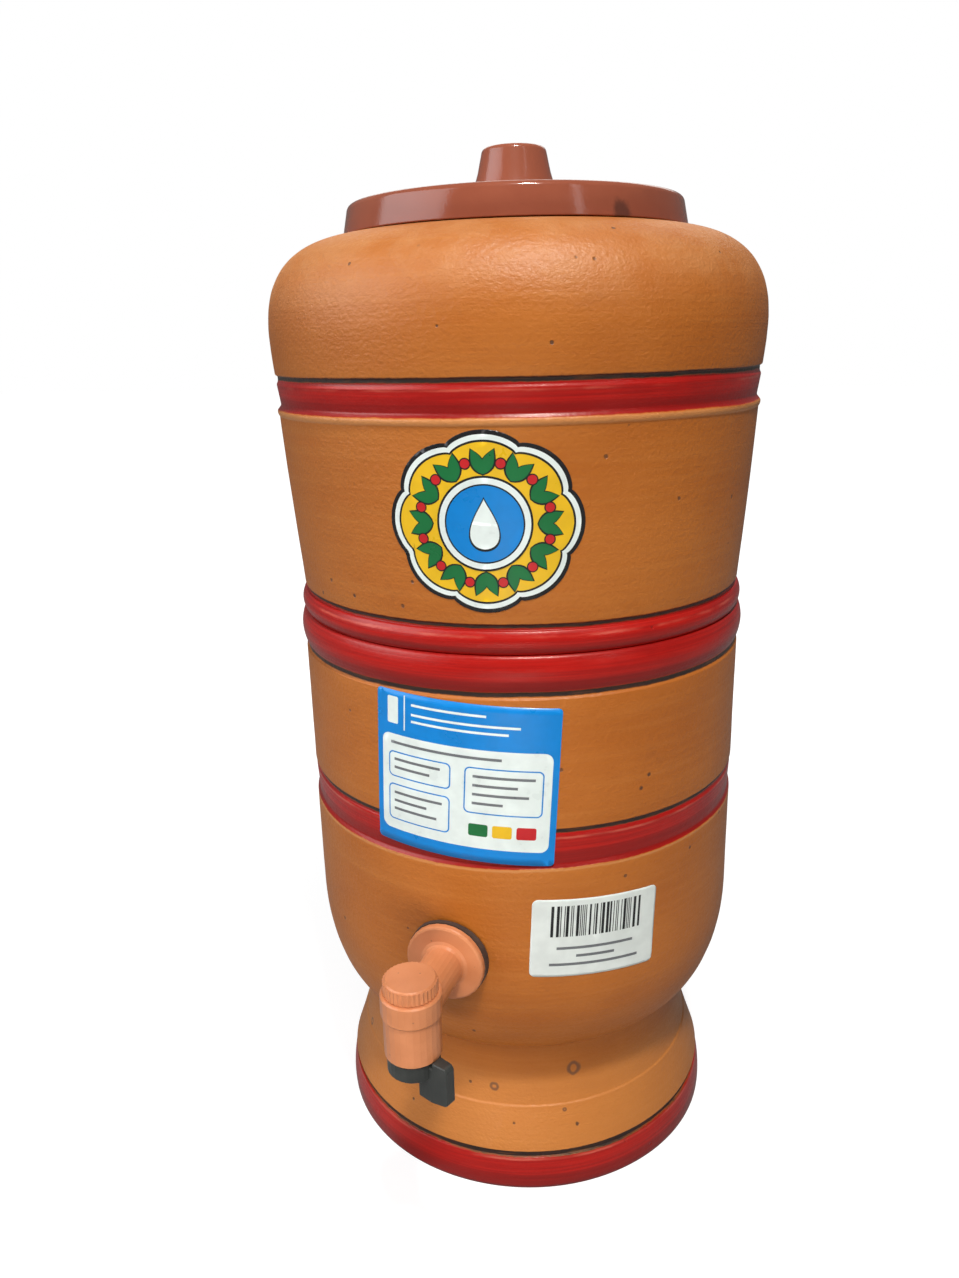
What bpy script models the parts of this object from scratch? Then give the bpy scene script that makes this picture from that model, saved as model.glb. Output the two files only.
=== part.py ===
"""Clay water filter: two turned clay vessels, a lid, a ceramic candle and a plug tap.

The vessels stand on one vertical axis. The tap points to -Y. Units are metres, +Z is up, and
the ground is at z = 0, under the middle of the whole object.
"""

import math

import bmesh
import bpy

MM = 0.001
QUARTER_TURN = math.pi / 2

# Clearance between pieces that touch, and between pieces that slide in one another
SEAT_GAP = 0.3 * MM
SLIDE_GAP = 0.3 * MM

# Small chamfer on moulded and turned edges, and how far a cutter runs past what it cuts
EDGE_BREAK = 0.5 * MM
OVERCUT = 1.0 * MM

# Facets round a turned piece
VESSEL_FACETS = 36
CANDLE_FACETS = 24
TAP_FACETS = 28
RING_FACETS = 18
FINE_FACETS = 96

# Painted bands, cut as shallow grooves
GROOVE_HEIGHT = 2.3 * MM
GROOVE_DEPTH = 0.9 * MM
BEAD_GROOVE_DEPTH = 0.45 * MM
BAND_DEPTH = 1.0 * MM
BAND_BEVEL = 1.3 * MM

# Foot of the lower vessel: a red band, a slope, a low step, then a hollow curve up to the neck
FOOT_RADIUS = 81.3 * MM
FOOT_BAND_HEIGHT = 13.6 * MM
FOOT_BAND_DRAW = 1.3 * MM
FOOT_BAND_SWELL = 0.6 * MM
FOOT_SLOPE_HEIGHT = 17.9 * MM
FOOT_SLOPE_DRAW = 5.7 * MM
FOOT_LEDGE = 0.6 * MM
NECK_RISE = 27.2 * MM
NECK_DRAW = 4.7 * MM
NECK_SAG = 0.8 * MM
FOOT_TOP_RADIUS = FOOT_RADIUS - FOOT_BAND_DRAW
FOOT_STEP_RADIUS = FOOT_TOP_RADIUS - FOOT_SLOPE_DRAW
FOOT_STEP_HEIGHT = FOOT_BAND_HEIGHT + GROOVE_HEIGHT + FOOT_SLOPE_HEIGHT
NECK_RADIUS = FOOT_STEP_RADIUS - NECK_DRAW
NECK_HEIGHT = FOOT_STEP_HEIGHT + NECK_RISE

# Hollow of the foot, which is a ring luted under the vessel's floor
FOOT_WALL = 10.3 * MM
FOOT_TOP_WALL = 11.6 * MM
FOOT_HOLLOW_SWELL = 1.5 * MM
LOWER_FLOOR_THICKNESS = 8.0 * MM
FOOT_HOLLOW_RADIUS = FOOT_RADIUS - FOOT_WALL
FOOT_HOLLOW_TOP_RADIUS = NECK_RADIUS - FOOT_TOP_WALL
FOOT_RING_TOP = NECK_HEIGHT - SEAT_GAP
LOWER_FLOOR_HEIGHT = NECK_HEIGHT + LOWER_FLOOR_THICKNESS

# Lower vessel. The tap's nut sits on the straight wall, just over the belly's inner curve
LOWER_RADIUS = 88.6 * MM
LOWER_WALL = 8.8 * MM
LOWER_INNER_RADIUS = LOWER_RADIUS - LOWER_WALL
INNER_BELLY_RISE = 27.0 * MM
INNER_BELLY_DRAW = 22.0 * MM
TAP_NUT_RADIUS = 12.5 * MM
TAP_NUT_ROOM = 1.9 * MM
BELLY_UNDER_STEM = 5.4 * MM
LOWER_WALL_HEIGHT = 123.0 * MM
LOWER_BAND_RISE = 59.2 * MM
LOWER_BAND_HEIGHT = 15.4 * MM
INNER_BELLY_HEIGHT = LOWER_FLOOR_HEIGHT + INNER_BELLY_RISE
STEM_HEIGHT = INNER_BELLY_HEIGHT + TAP_NUT_RADIUS + TAP_NUT_ROOM
BELLY_HEIGHT = STEM_HEIGHT - BELLY_UNDER_STEM
LOWER_BAND_TOP = BELLY_HEIGHT + LOWER_BAND_RISE
LOWER_RIM_HEIGHT = BELLY_HEIGHT + LOWER_WALL_HEIGHT

# Beads on both sides of the joint between the vessels
BEAD_HEIGHT = 12.6 * MM
BEAD_DRAW = 0.4 * MM
LOWER_BEAD_SWELL = 1.5 * MM
UPPER_BEAD_HEIGHT = 8.2 * MM
UPPER_BEAD_SWELL = 1.4 * MM
UPPER_BEAD_DRAW = 0.8 * MM
BEAD_EDGE_RADIUS = LOWER_RADIUS - BEAD_DRAW

# Upper vessel: a wall that flares a little, a red band, then the shoulder
UPPER_FLARE = 5.0 * MM
UPPER_BAND_STEP = 1.6 * MM
UPPER_BAND_RISE = 90.3 * MM
UPPER_BAND_HEIGHT = 12.3 * MM
UPPER_WALL = 8.6 * MM
UPPER_WALL_BULGE = 0.25 * MM
UPPER_FLOOR_THICKNESS = 10.0 * MM
UPPER_FLOOR_ROUND = 9.0 * MM
SPIGOT_DEPTH = 12.0 * MM
SPIGOT_GAP = 1.2 * MM
SPIGOT_BEVEL = 2.0 * MM
STEM_HOLE_GAP = 1.0 * MM
SHOULDER_START = 104.1 * MM
SHOULDER_RISE = 33.8 * MM
SHOULDER_POWER = 2.48
SHOULDER_TUCK = 1.1 * MM
UPPER_BASE_RADIUS = BEAD_EDGE_RADIUS - UPPER_BEAD_DRAW
UPPER_BAND_RADIUS = UPPER_BASE_RADIUS + UPPER_FLARE
UPPER_RADIUS = UPPER_BAND_RADIUS + UPPER_BAND_STEP
UPPER_SEAT_HEIGHT = LOWER_RIM_HEIGHT + SEAT_GAP
UPPER_WALL_START = UPPER_SEAT_HEIGHT + UPPER_BEAD_HEIGHT + GROOVE_HEIGHT
UPPER_BAND_TOP = LOWER_RIM_HEIGHT + UPPER_BAND_RISE
UPPER_BAND_BOTTOM = UPPER_BAND_TOP - UPPER_BAND_HEIGHT
UPPER_FLOOR_BOTTOM = LOWER_RIM_HEIGHT - SPIGOT_DEPTH
UPPER_FLOOR_TOP = UPPER_FLOOR_BOTTOM + UPPER_FLOOR_THICKNESS
SHOULDER_HEIGHT = LOWER_RIM_HEIGHT + SHOULDER_START
SHOULDER_TOP = SHOULDER_HEIGHT + SHOULDER_RISE
SHOULDER_SEAM_HEIGHT = UPPER_BAND_BOTTOM + BAND_BEVEL

# Mouth of the upper vessel
MOUTH_RADIUS = 52.8 * MM
MOUTH_WALL = 7.0 * MM
MOUTH_RIM_RISE = 8.5 * MM
MOUTH_RIM_ROUND = 1.5 * MM
SHOULDER_UNDER_COLLAR = 1.6 * MM
MOUTH_COLLAR_RADIUS = MOUTH_RADIUS + MOUTH_WALL
MOUTH_RIM_HEIGHT = SHOULDER_TOP + MOUTH_RIM_RISE

# Lid, which rests on the mouth's rim with its skirt just over the shoulder
LID_THICKNESS = 2.3 * MM
LID_CLEARANCE = 2.0 * MM
LID_TAPER = 2.0 * MM
LID_RIM_ROUND = 2.4 * MM
LID_CROWN = 1.9 * MM
LID_RADIUS = MOUTH_COLLAR_RADIUS + LID_CLEARANCE + LID_THICKNESS
LID_RIM_RADIUS = LID_RADIUS - LID_TAPER
LID_UNDER_HEIGHT = MOUTH_RIM_HEIGHT + SEAT_GAP
LID_TOP_HEIGHT = LID_UNDER_HEIGHT + LID_THICKNESS
LID_SKIRT_HEIGHT = SHOULDER_TOP + SEAT_GAP

# Hollow knob of the lid
KNOB_TOP_RADIUS = 12.0 * MM
KNOB_MIDDLE_DRAW = 1.5 * MM
KNOB_BASE_DRAW = 3.9 * MM
KNOB_FLARE = 1.3 * MM
KNOB_HEIGHT = 17.2 * MM
KNOB_ROUND = 2.0 * MM
KNOB_WALL = 2.2 * MM
KNOB_MIDDLE_RADIUS = KNOB_TOP_RADIUS + KNOB_MIDDLE_DRAW
KNOB_BASE_RADIUS = KNOB_TOP_RADIUS + KNOB_BASE_DRAW

# Candle
CANDLE_RADIUS = 28.0 * MM
CANDLE_WALL = 8.0 * MM
CANDLE_HEIGHT = 94.0 * MM
CANDLE_DOME = 0.8
CANDLE_BASE_WALL = 2.4 * MM
CANDLE_BASE_HEIGHT = 14.0 * MM
CANDLE_BASE_FLOOR = 4.0 * MM
CANDLE_BASE_SWELL = 0.6 * MM
CANDLE_BASE_ROUND = 2.0 * MM
STEM_RADIUS = 5.6 * MM
STEM_BORE_RADIUS = 3.0 * MM
STEM_TAIL = 6.0 * MM
STEM_BEVEL = 0.8 * MM
UPPER_WASHER_RADIUS = 15.0 * MM
LOWER_WASHER_RADIUS = 13.0 * MM
CANDLE_WASHER_THICKNESS = 2.5 * MM
CANDLE_NUT_RADIUS = 9.5 * MM
CANDLE_NUT_HEIGHT = 8.0 * MM
CANDLE_NUT_BEVEL = 1.0 * MM
CANDLE_NUT_WING_REACH = 18.0 * MM
CANDLE_NUT_WING_THICKNESS = 4.0 * MM
STEM_HOLE_RADIUS = STEM_RADIUS + STEM_HOLE_GAP
CANDLE_BASE_BOTTOM = UPPER_FLOOR_TOP + CANDLE_WASHER_THICKNESS + 2 * SEAT_GAP
LOWER_WASHER_TOP = UPPER_FLOOR_BOTTOM - SEAT_GAP
CANDLE_NUT_TOP = LOWER_WASHER_TOP - CANDLE_WASHER_THICKNESS - SEAT_GAP

# Tap: flange against the wall, then the stem
TAP_STEM_RADIUS = 7.7 * MM
TAP_BORE_RADIUS = 4.2 * MM
TAP_PORT_RADIUS = 3.0 * MM
TAP_PORT_LENGTH = 1.6 * MM
TAP_STEM_LENGTH = 28.9 * MM
STEM_FILLET = 1.6 * MM
FLANGE_RADIUS = 15.1 * MM
FLANGE_THICKNESS = 2.6 * MM
FLANGE_EDGE = 0.9 * MM
TAP_GASKET_THICKNESS = 1.8 * MM
TAP_GASKET_OVERHANG = 0.3 * MM
TAP_HOLE_GAP = 0.6 * MM
TAP_INNER_GASKET_RADIUS = 12.0 * MM
TAP_INNER_GASKET_THICKNESS = 2.2 * MM
TAP_INNER_GASKET_RELIEF = 0.2 * MM
TAP_NUT_THICKNESS = 6.0 * MM
TAP_NUT_FLAT = 11.75 * MM
TAP_TAIL_OVERHANG = 3.5 * MM
TAP_HOLE_RADIUS = TAP_STEM_RADIUS + TAP_HOLE_GAP
TAP_GASKET_FACE = LOWER_RADIUS + SEAT_GAP + TAP_GASKET_THICKNESS
FLANGE_BACK = TAP_GASKET_FACE + SEAT_GAP
FLANGE_FRONT = FLANGE_BACK + FLANGE_THICKNESS
BARREL_REACH = FLANGE_FRONT + TAP_STEM_LENGTH
TAP_NUT_FACE = LOWER_INNER_RADIUS - SEAT_GAP - TAP_INNER_GASKET_THICKNESS
TAP_TAIL_END = TAP_NUT_FACE - TAP_NUT_THICKNESS - TAP_TAIL_OVERHANG

# Tap plug and what draws it up into the barrel
PLUG_RADIUS = 5.3 * MM
SPOUT_BORE_RADIUS = 3.3 * MM
SPOUT_ROOF = 0.4 * MM
PLUG_PORT_RADIUS = 2.4 * MM
PLUG_TOP_RISE = 2.9 * MM
RING_SECTION = 0.8 * MM
RING_GROOVE_DEPTH = 1.0 * MM
RING_GROOVE_HEIGHT = 1.3 * MM
RING_GROOVE_ROOM = 0.15 * MM
LOWER_RING_RISE = 3.7 * MM
UPPER_RING_DROP = 1.3 * MM
SPRING_GAP = 0.8 * MM
SPRING_WIRE = 0.3 * MM
SPRING_TURNS = 2
SPRING_STEPS = 12
PLUG_WASHER_MARGIN = 0.2 * MM
PLUG_WASHER_THICKNESS = 0.8 * MM
SCREW_RADIUS = 1.4 * MM
SCREW_HEAD_RADIUS = 2.8 * MM
SCREW_HEAD_HEIGHT = 1.7 * MM
SCREW_LENGTH = 4.0 * MM
SPRING_RADIUS = PLUG_RADIUS + SPRING_WIRE + SPRING_GAP
PLUG_WASHER_RADIUS = SPRING_RADIUS + SPRING_WIRE + PLUG_WASHER_MARGIN

# Tap cap, whose skirt goes round the spring and the washer
CAP_HEIGHT = 5.0 * MM
CAP_RIB_COUNT = 36
CAP_RIB_DEPTH = 0.35 * MM
CAP_ROOF = 1.5 * MM
CAP_SKIRT_WALL = 1.0 * MM
CAP_SKIRT_ROOM = 0.4 * MM
CAP_MARGIN = 0.9 * MM
CAP_GASKET_HEIGHT = 1.0 * MM
CAP_GASKET_LIP = 0.2 * MM
CAP_CORE_DRAW = 0.1 * MM
CAP_CORE_RISE = 0.3 * MM
CAP_RIB_DROP = 0.55 * MM
CAP_SKIRT_INNER = PLUG_WASHER_RADIUS + CAP_SKIRT_ROOM
CAP_SKIRT_OUTER = CAP_SKIRT_INNER + CAP_SKIRT_WALL
CAP_SEAT_RADIUS = CAP_SKIRT_OUTER + SLIDE_GAP
CAP_RADIUS = CAP_SEAT_RADIUS + CAP_MARGIN

# Barrel of the tap, with a wider upper part
BARREL_WALL = 2.05 * MM
BARREL_STEP_DRAW = 0.65 * MM
BARREL_LIP = 0.55 * MM
BARREL_DROP = 15.1 * MM
BARREL_STEP_RISE = 0.6 * MM
BARREL_ROOF = 1.1 * MM
BARREL_LEDGE_DEPTH = 3.1 * MM
BARREL_TOP_RADIUS = CAP_SEAT_RADIUS + BARREL_WALL
BARREL_RADIUS = BARREL_TOP_RADIUS - BARREL_STEP_DRAW
BARREL_BORE_RADIUS = PLUG_RADIUS + SLIDE_GAP
BARREL_BOTTOM = STEM_HEIGHT - BARREL_DROP
BARREL_STEP = STEM_HEIGHT + BARREL_STEP_RISE
BARREL_TOP = STEM_HEIGHT + TAP_STEM_RADIUS + BARREL_ROOF
BARREL_LEDGE = BARREL_TOP - BARREL_LEDGE_DEPTH
CAP_GASKET_BOTTOM = BARREL_LEDGE + SEAT_GAP
CAP_GASKET_TOP = CAP_GASKET_BOTTOM + CAP_GASKET_HEIGHT
PLUG_TOP = BARREL_LEDGE + PLUG_TOP_RISE
LOWER_RING_HEIGHT = BARREL_BOTTOM + LOWER_RING_RISE
UPPER_RING_HEIGHT = BARREL_LEDGE - UPPER_RING_DROP

# Collar of the plug, and the lever that hangs from it
COLLAR_DRAW = 0.7 * MM
COLLAR_HEIGHT = 6.3 * MM
COLLAR_ROUND = 0.6 * MM
LEVER_ANGLE = math.radians(70.0)
LEVER_SPOUT_WALL = 0.6 * MM
LEVER_BEND_MARGIN = 0.5 * MM
LEVER_OVERHANG = 7.7 * MM
LEVER_THICKNESS = 4.8 * MM
LEVER_END_THICKNESS = 4.0 * MM
LEVER_DROP = 8.7 * MM
LEVER_START_RISE = 0.2 * MM
LEVER_END_RISE = 2.4 * MM
LEVER_TOP_RISE = 1.2 * MM
LEVER_JOINT_DROP = 0.8 * MM
LEVER_BARREL_GAP = 0.5 * MM
LEVER_CORNER = 1.2 * MM
LEVER_ROUND = 0.35 * MM
COLLAR_RADIUS = BARREL_RADIUS - COLLAR_DRAW
COLLAR_TOP = BARREL_BOTTOM - SEAT_GAP
COLLAR_BOTTOM = COLLAR_TOP - COLLAR_HEIGHT
LEVER_START = SPOUT_BORE_RADIUS + LEVER_SPOUT_WALL
LEVER_BEND = COLLAR_RADIUS + LEVER_BEND_MARGIN
LEVER_REACH = COLLAR_RADIUS + LEVER_OVERHANG

# The vessels' axis is set back so that the whole object, tap included, is centred on the origin
TAP_FRONT = BARREL_REACH + BARREL_TOP_RADIUS
AXIS_Y = (TAP_FRONT - UPPER_RADIUS) / 2

CLAY = (0.50, 0.20, 0.06)
LID_BROWN = (0.27, 0.075, 0.045)
CANDLE_WHITE = (0.82, 0.80, 0.74)
WHITE_PLASTIC = (0.78, 0.78, 0.76)
TAP_TERRACOTTA = (0.62, 0.24, 0.11)
TAP_BLACK = (0.03, 0.036, 0.036)
RUBBER_BROWN = (0.10, 0.07, 0.055)
RUBBER_BLACK = (0.02, 0.02, 0.02)
STEEL = (0.60, 0.60, 0.58)


def clear_scene():
    for thing in list(bpy.data.objects):
        bpy.data.objects.remove(thing, do_unlink=True)


def make_collection(name):
    made = bpy.data.collections.new(name)
    bpy.context.scene.collection.children.link(made)
    return made


def make_material(name, colour, roughness, metallic=0.0):
    made = bpy.data.materials.new(name)
    made.use_nodes = True
    shader = made.node_tree.nodes["Principled BSDF"]
    shader.inputs["Base Color"].default_value = (*colour, 1.0)
    shader.inputs["Roughness"].default_value = roughness
    shader.inputs["Metallic"].default_value = metallic
    return made


def make_empty(name, place, parent=None):
    made = bpy.data.objects.new(name, None)
    PIECES.objects.link(made)
    made.parent = parent
    made.location = place
    return made


def add_piece(name, mesh, material, parent):
    """One visible piece, in its parent's space."""
    made = bpy.data.objects.new(name, mesh)
    PIECES.objects.link(made)
    made.parent = parent
    mesh.materials.append(material)
    mesh.shade_smooth()
    mesh.set_sharp_from_angle(angle=math.radians(35.0))
    return made


def add_helper(name, mesh, parent):
    """A cutter, or a shape to be joined to a piece. It isn't rendered."""
    made = bpy.data.objects.new(name, mesh)
    HELPERS.objects.link(made)
    made.parent = parent
    made.hide_render = True
    made.display_type = "WIRE"
    return made


def combine(piece, helper, operation):
    modifier = piece.modifiers.new(operation.title() + " " + helper.name, "BOOLEAN")
    modifier.operation = operation
    modifier.solver = "EXACT"
    modifier.object = helper


def profile_mesh(name, points, closed):
    """An outline in the XZ plane, as (radius, height) pairs."""
    mesh = bpy.data.meshes.new(name)
    count = len(points)
    edges = [(i, i + 1) for i in range(count - 1)]
    if closed:
        edges.append((count - 1, 0))
    mesh.from_pydata([(radius, 0.0, height) for radius, height in points], edges, [])
    return mesh


def spin(thing, facets):
    modifier = thing.modifiers.new("Turn", "SCREW")
    modifier.axis = "Z"
    modifier.steps = facets
    modifier.render_steps = facets
    modifier.use_merge_vertices = True
    modifier.merge_threshold = 0.00001
    modifier.use_smooth_shade = True


def turned_piece(name, points, closed, material, parent, facets):
    """A turned solid. Its outline runs down its outer side."""
    made = add_piece(name, profile_mesh(name, points, closed), material, parent)
    spin(made, facets)
    return made


def turned_helper(name, points, closed, parent, facets):
    made = add_helper(name, profile_mesh(name, points, closed), parent)
    spin(made, facets)
    return made


def cylinder_points(radius, low, high):
    """Outline of a plain solid cylinder."""
    return [(0.0, high), (radius, high), (radius, low), (0.0, low)]


def ring_points(inner, outer, low, high):
    """Outline of a plain ring."""
    return [(inner, high), (outer, high), (outer, low), (inner, low)]


def arc_points(centre, radius, start, end, steps):
    """Points of a circular arc from start to end, in degrees."""
    found = []
    for step in range(steps + 1):
        angle = math.radians(start + (end - start) * step / steps)
        found.append((centre[0] + radius * math.cos(angle), centre[1] + radius * math.sin(angle)))
    return found


def superellipse_points(centre, draw, rise, power, start, end, steps):
    """Points of a quarter bulge: draw is its reach outward, rise its reach upward (or down)."""
    found = []
    for step in range(steps + 1):
        angle = math.radians(start + (end - start) * step / steps)
        out = draw * math.cos(angle) ** (2 / power) if angle < QUARTER_TURN else 0.0
        up = rise * math.sin(angle) ** (2 / power)
        found.append((centre[0] + out, centre[1] + up))
    return found


def bead_points(top_radius, bottom_radius, swell, top, height, steps):
    """A rounded bead from its top edge down to its bottom edge."""
    found = []
    for step in range(steps + 1):
        share = step / steps
        edge = top_radius + (bottom_radius - top_radius) * share
        found.append((edge + swell * math.sin(math.pi * share) ** 0.8, top - height * share))
    return found


def upper_wall_radius(height):
    """Outer radius of the upper vessel's flared wall."""
    share = (height - UPPER_WALL_START) / (UPPER_BAND_BOTTOM - UPPER_WALL_START)
    return UPPER_BASE_RADIUS + UPPER_FLARE * share


def band_points(top_radius, bottom_radius, top, height):
    """A painted band: a groove for the dark line along its top, then a field cut a little deeper below."""
    bottom = top - height
    return [
        (top_radius, top),
        (top_radius - GROOVE_DEPTH, top - EDGE_BREAK),
        (top_radius - GROOVE_DEPTH, top - GROOVE_HEIGHT),
        (top_radius - BAND_DEPTH / 3, top - GROOVE_HEIGHT - 2 * EDGE_BREAK),
        (bottom_radius - BAND_DEPTH, bottom + BAND_BEVEL),
        (bottom_radius, bottom),
    ]


def lower_outer_points():
    """Outer side of the lower vessel, from its rim down to the middle of its underside."""
    groove_top = LOWER_RIM_HEIGHT - BEAD_HEIGHT
    groove_bottom = groove_top - GROOVE_HEIGHT
    groove_floor = BEAD_EDGE_RADIUS - BEAD_GROOVE_DEPTH
    points = bead_points(
        BEAD_EDGE_RADIUS, BEAD_EDGE_RADIUS, LOWER_BEAD_SWELL, LOWER_RIM_HEIGHT, BEAD_HEIGHT, 4
    )
    points.append((groove_floor, groove_top - EDGE_BREAK))
    points.append((groove_floor, groove_bottom))
    points.append((LOWER_RADIUS, groove_bottom - EDGE_BREAK))
    points += band_points(LOWER_RADIUS, LOWER_RADIUS, LOWER_BAND_TOP, LOWER_BAND_HEIGHT)
    belly_draw = LOWER_RADIUS - NECK_RADIUS
    belly_drop = BELLY_HEIGHT - NECK_HEIGHT
    points += superellipse_points((NECK_RADIUS, BELLY_HEIGHT), belly_draw, -belly_drop, 2.0, 0.0, 90.0, 7)
    points.append((0.0, NECK_HEIGHT))
    return points


def foot_outer_points():
    """The flared foot: a hollow curve under the neck, a step, a slope, a groove and a full band."""
    neck_steps = 3
    step_inner = FOOT_STEP_RADIUS - FOOT_LEDGE
    points = [(NECK_RADIUS, FOOT_RING_TOP)]
    for step in range(1, neck_steps):
        share = step / neck_steps
        radius = NECK_RADIUS + (step_inner - NECK_RADIUS) * share
        radius -= NECK_SAG * math.sin(math.pi * share)
        points.append((radius, NECK_HEIGHT - NECK_RISE * share))
    points.append((step_inner, FOOT_STEP_HEIGHT))
    points.append((FOOT_STEP_RADIUS, FOOT_STEP_HEIGHT - EDGE_BREAK))
    groove_top = FOOT_BAND_HEIGHT + GROOVE_HEIGHT
    points.append((FOOT_TOP_RADIUS, groove_top + EDGE_BREAK))
    points.append((FOOT_TOP_RADIUS - GROOVE_DEPTH, groove_top))
    points.append((FOOT_TOP_RADIUS - GROOVE_DEPTH, FOOT_BAND_HEIGHT))
    return points + bead_points(
        FOOT_TOP_RADIUS, FOOT_RADIUS, FOOT_BAND_SWELL, FOOT_BAND_HEIGHT, FOOT_BAND_HEIGHT, 4
    )


def lower_inner_points():
    """Inside of the lower vessel, from the middle of its floor up to its rim."""
    centre = (LOWER_INNER_RADIUS - INNER_BELLY_DRAW, INNER_BELLY_HEIGHT)
    points = [(0.0, LOWER_FLOOR_HEIGHT)]
    points += superellipse_points(centre, INNER_BELLY_DRAW, -INNER_BELLY_RISE, 2.0, 90.0, 0.0, 4)
    points.append((LOWER_INNER_RADIUS, LOWER_RIM_HEIGHT - 2 * EDGE_BREAK))
    points.append((LOWER_INNER_RADIUS + 2 * EDGE_BREAK, LOWER_RIM_HEIGHT))
    return points


def foot_hollow_points():
    """Hollow of the foot, from the ground up to the vessel's underside."""
    steps = 3
    points = []
    for step in range(steps + 1):
        share = step / steps
        radius = FOOT_HOLLOW_RADIUS + (FOOT_HOLLOW_TOP_RADIUS - FOOT_HOLLOW_RADIUS) * share
        points.append((radius + FOOT_HOLLOW_SWELL * math.sin(math.pi * share), FOOT_RING_TOP * share))
    return points


def make_lower_vessel(parent, material):
    turned_piece(
        "lower_foot", foot_outer_points() + foot_hollow_points(), True, material, parent, VESSEL_FACETS
    )
    outline = lower_inner_points() + lower_outer_points()
    vessel = turned_piece("lower_vessel", outline, False, material, parent, VESSEL_FACETS)
    hole = turned_helper(
        "tap_hole",
        cylinder_points(TAP_HOLE_RADIUS, LOWER_INNER_RADIUS - LOWER_WALL, LOWER_RADIUS + LOWER_WALL),
        False,
        parent,
        TAP_FACETS,
    )
    point_to_tap(hole)
    combine(vessel, hole, "DIFFERENCE")


def point_to_tap(thing):
    """Turns a shape built along +Z so that it lies along the tap's stem, measured from the axis."""
    thing.rotation_euler = (math.radians(90.0), 0.0, 0.0)
    thing.location = (0.0, 0.0, STEM_HEIGHT)


def shoulder_outer_points():
    """Outer side of the shoulder, from the mouth's ring down to the seam in the band's lower corner."""
    inside = MOUTH_COLLAR_RADIUS - SHOULDER_UNDER_COLLAR
    shoulder = superellipse_points(
        (inside, SHOULDER_HEIGHT), UPPER_RADIUS - inside, SHOULDER_RISE, SHOULDER_POWER, 80.0, 0.0, 8
    )
    points = [(MOUTH_COLLAR_RADIUS + 2 * EDGE_BREAK, SHOULDER_TOP)]
    points += [point for point in shoulder if point[0] > MOUTH_COLLAR_RADIUS + 4 * EDGE_BREAK]
    tucked = UPPER_RADIUS - SHOULDER_TUCK
    points.append(((UPPER_RADIUS + tucked) / 2, (SHOULDER_HEIGHT + 2 * UPPER_BAND_TOP) / 3))
    points += band_points(tucked, UPPER_BAND_RADIUS, UPPER_BAND_TOP, UPPER_BAND_HEIGHT)[:-2]
    points.append((UPPER_BAND_RADIUS - BAND_DEPTH, SHOULDER_SEAM_HEIGHT + SEAT_GAP))
    return points


def wall_outer_points():
    """Outer side of the upper vessel's wall, from the seam down to its seat on the lower vessel."""
    middle = (UPPER_BAND_BOTTOM + UPPER_WALL_START) / 2
    bead_top = UPPER_WALL_START - GROOVE_HEIGHT
    points = [
        (UPPER_BAND_RADIUS - BAND_DEPTH, SHOULDER_SEAM_HEIGHT),
        (UPPER_BAND_RADIUS, UPPER_BAND_BOTTOM),
        (upper_wall_radius(middle) + UPPER_WALL_BULGE, middle),
        (UPPER_BASE_RADIUS, UPPER_WALL_START),
        (UPPER_BASE_RADIUS - GROOVE_DEPTH, UPPER_WALL_START - EDGE_BREAK),
        (UPPER_BASE_RADIUS - GROOVE_DEPTH, bead_top),
    ]
    return points + bead_points(
        UPPER_BASE_RADIUS, UPPER_BASE_RADIUS, UPPER_BEAD_SWELL, bead_top, UPPER_BEAD_HEIGHT, 4
    )


def upper_inner_radius(height):
    """Inner radius of the upper vessel's wall, which widens from the floor's corner to the shoulder."""
    start = UPPER_FLOOR_TOP + UPPER_FLOOR_ROUND
    share = (height - start) / (SHOULDER_HEIGHT - start)
    return UPPER_BASE_RADIUS + (UPPER_RADIUS - UPPER_BASE_RADIUS) * share - UPPER_WALL


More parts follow.
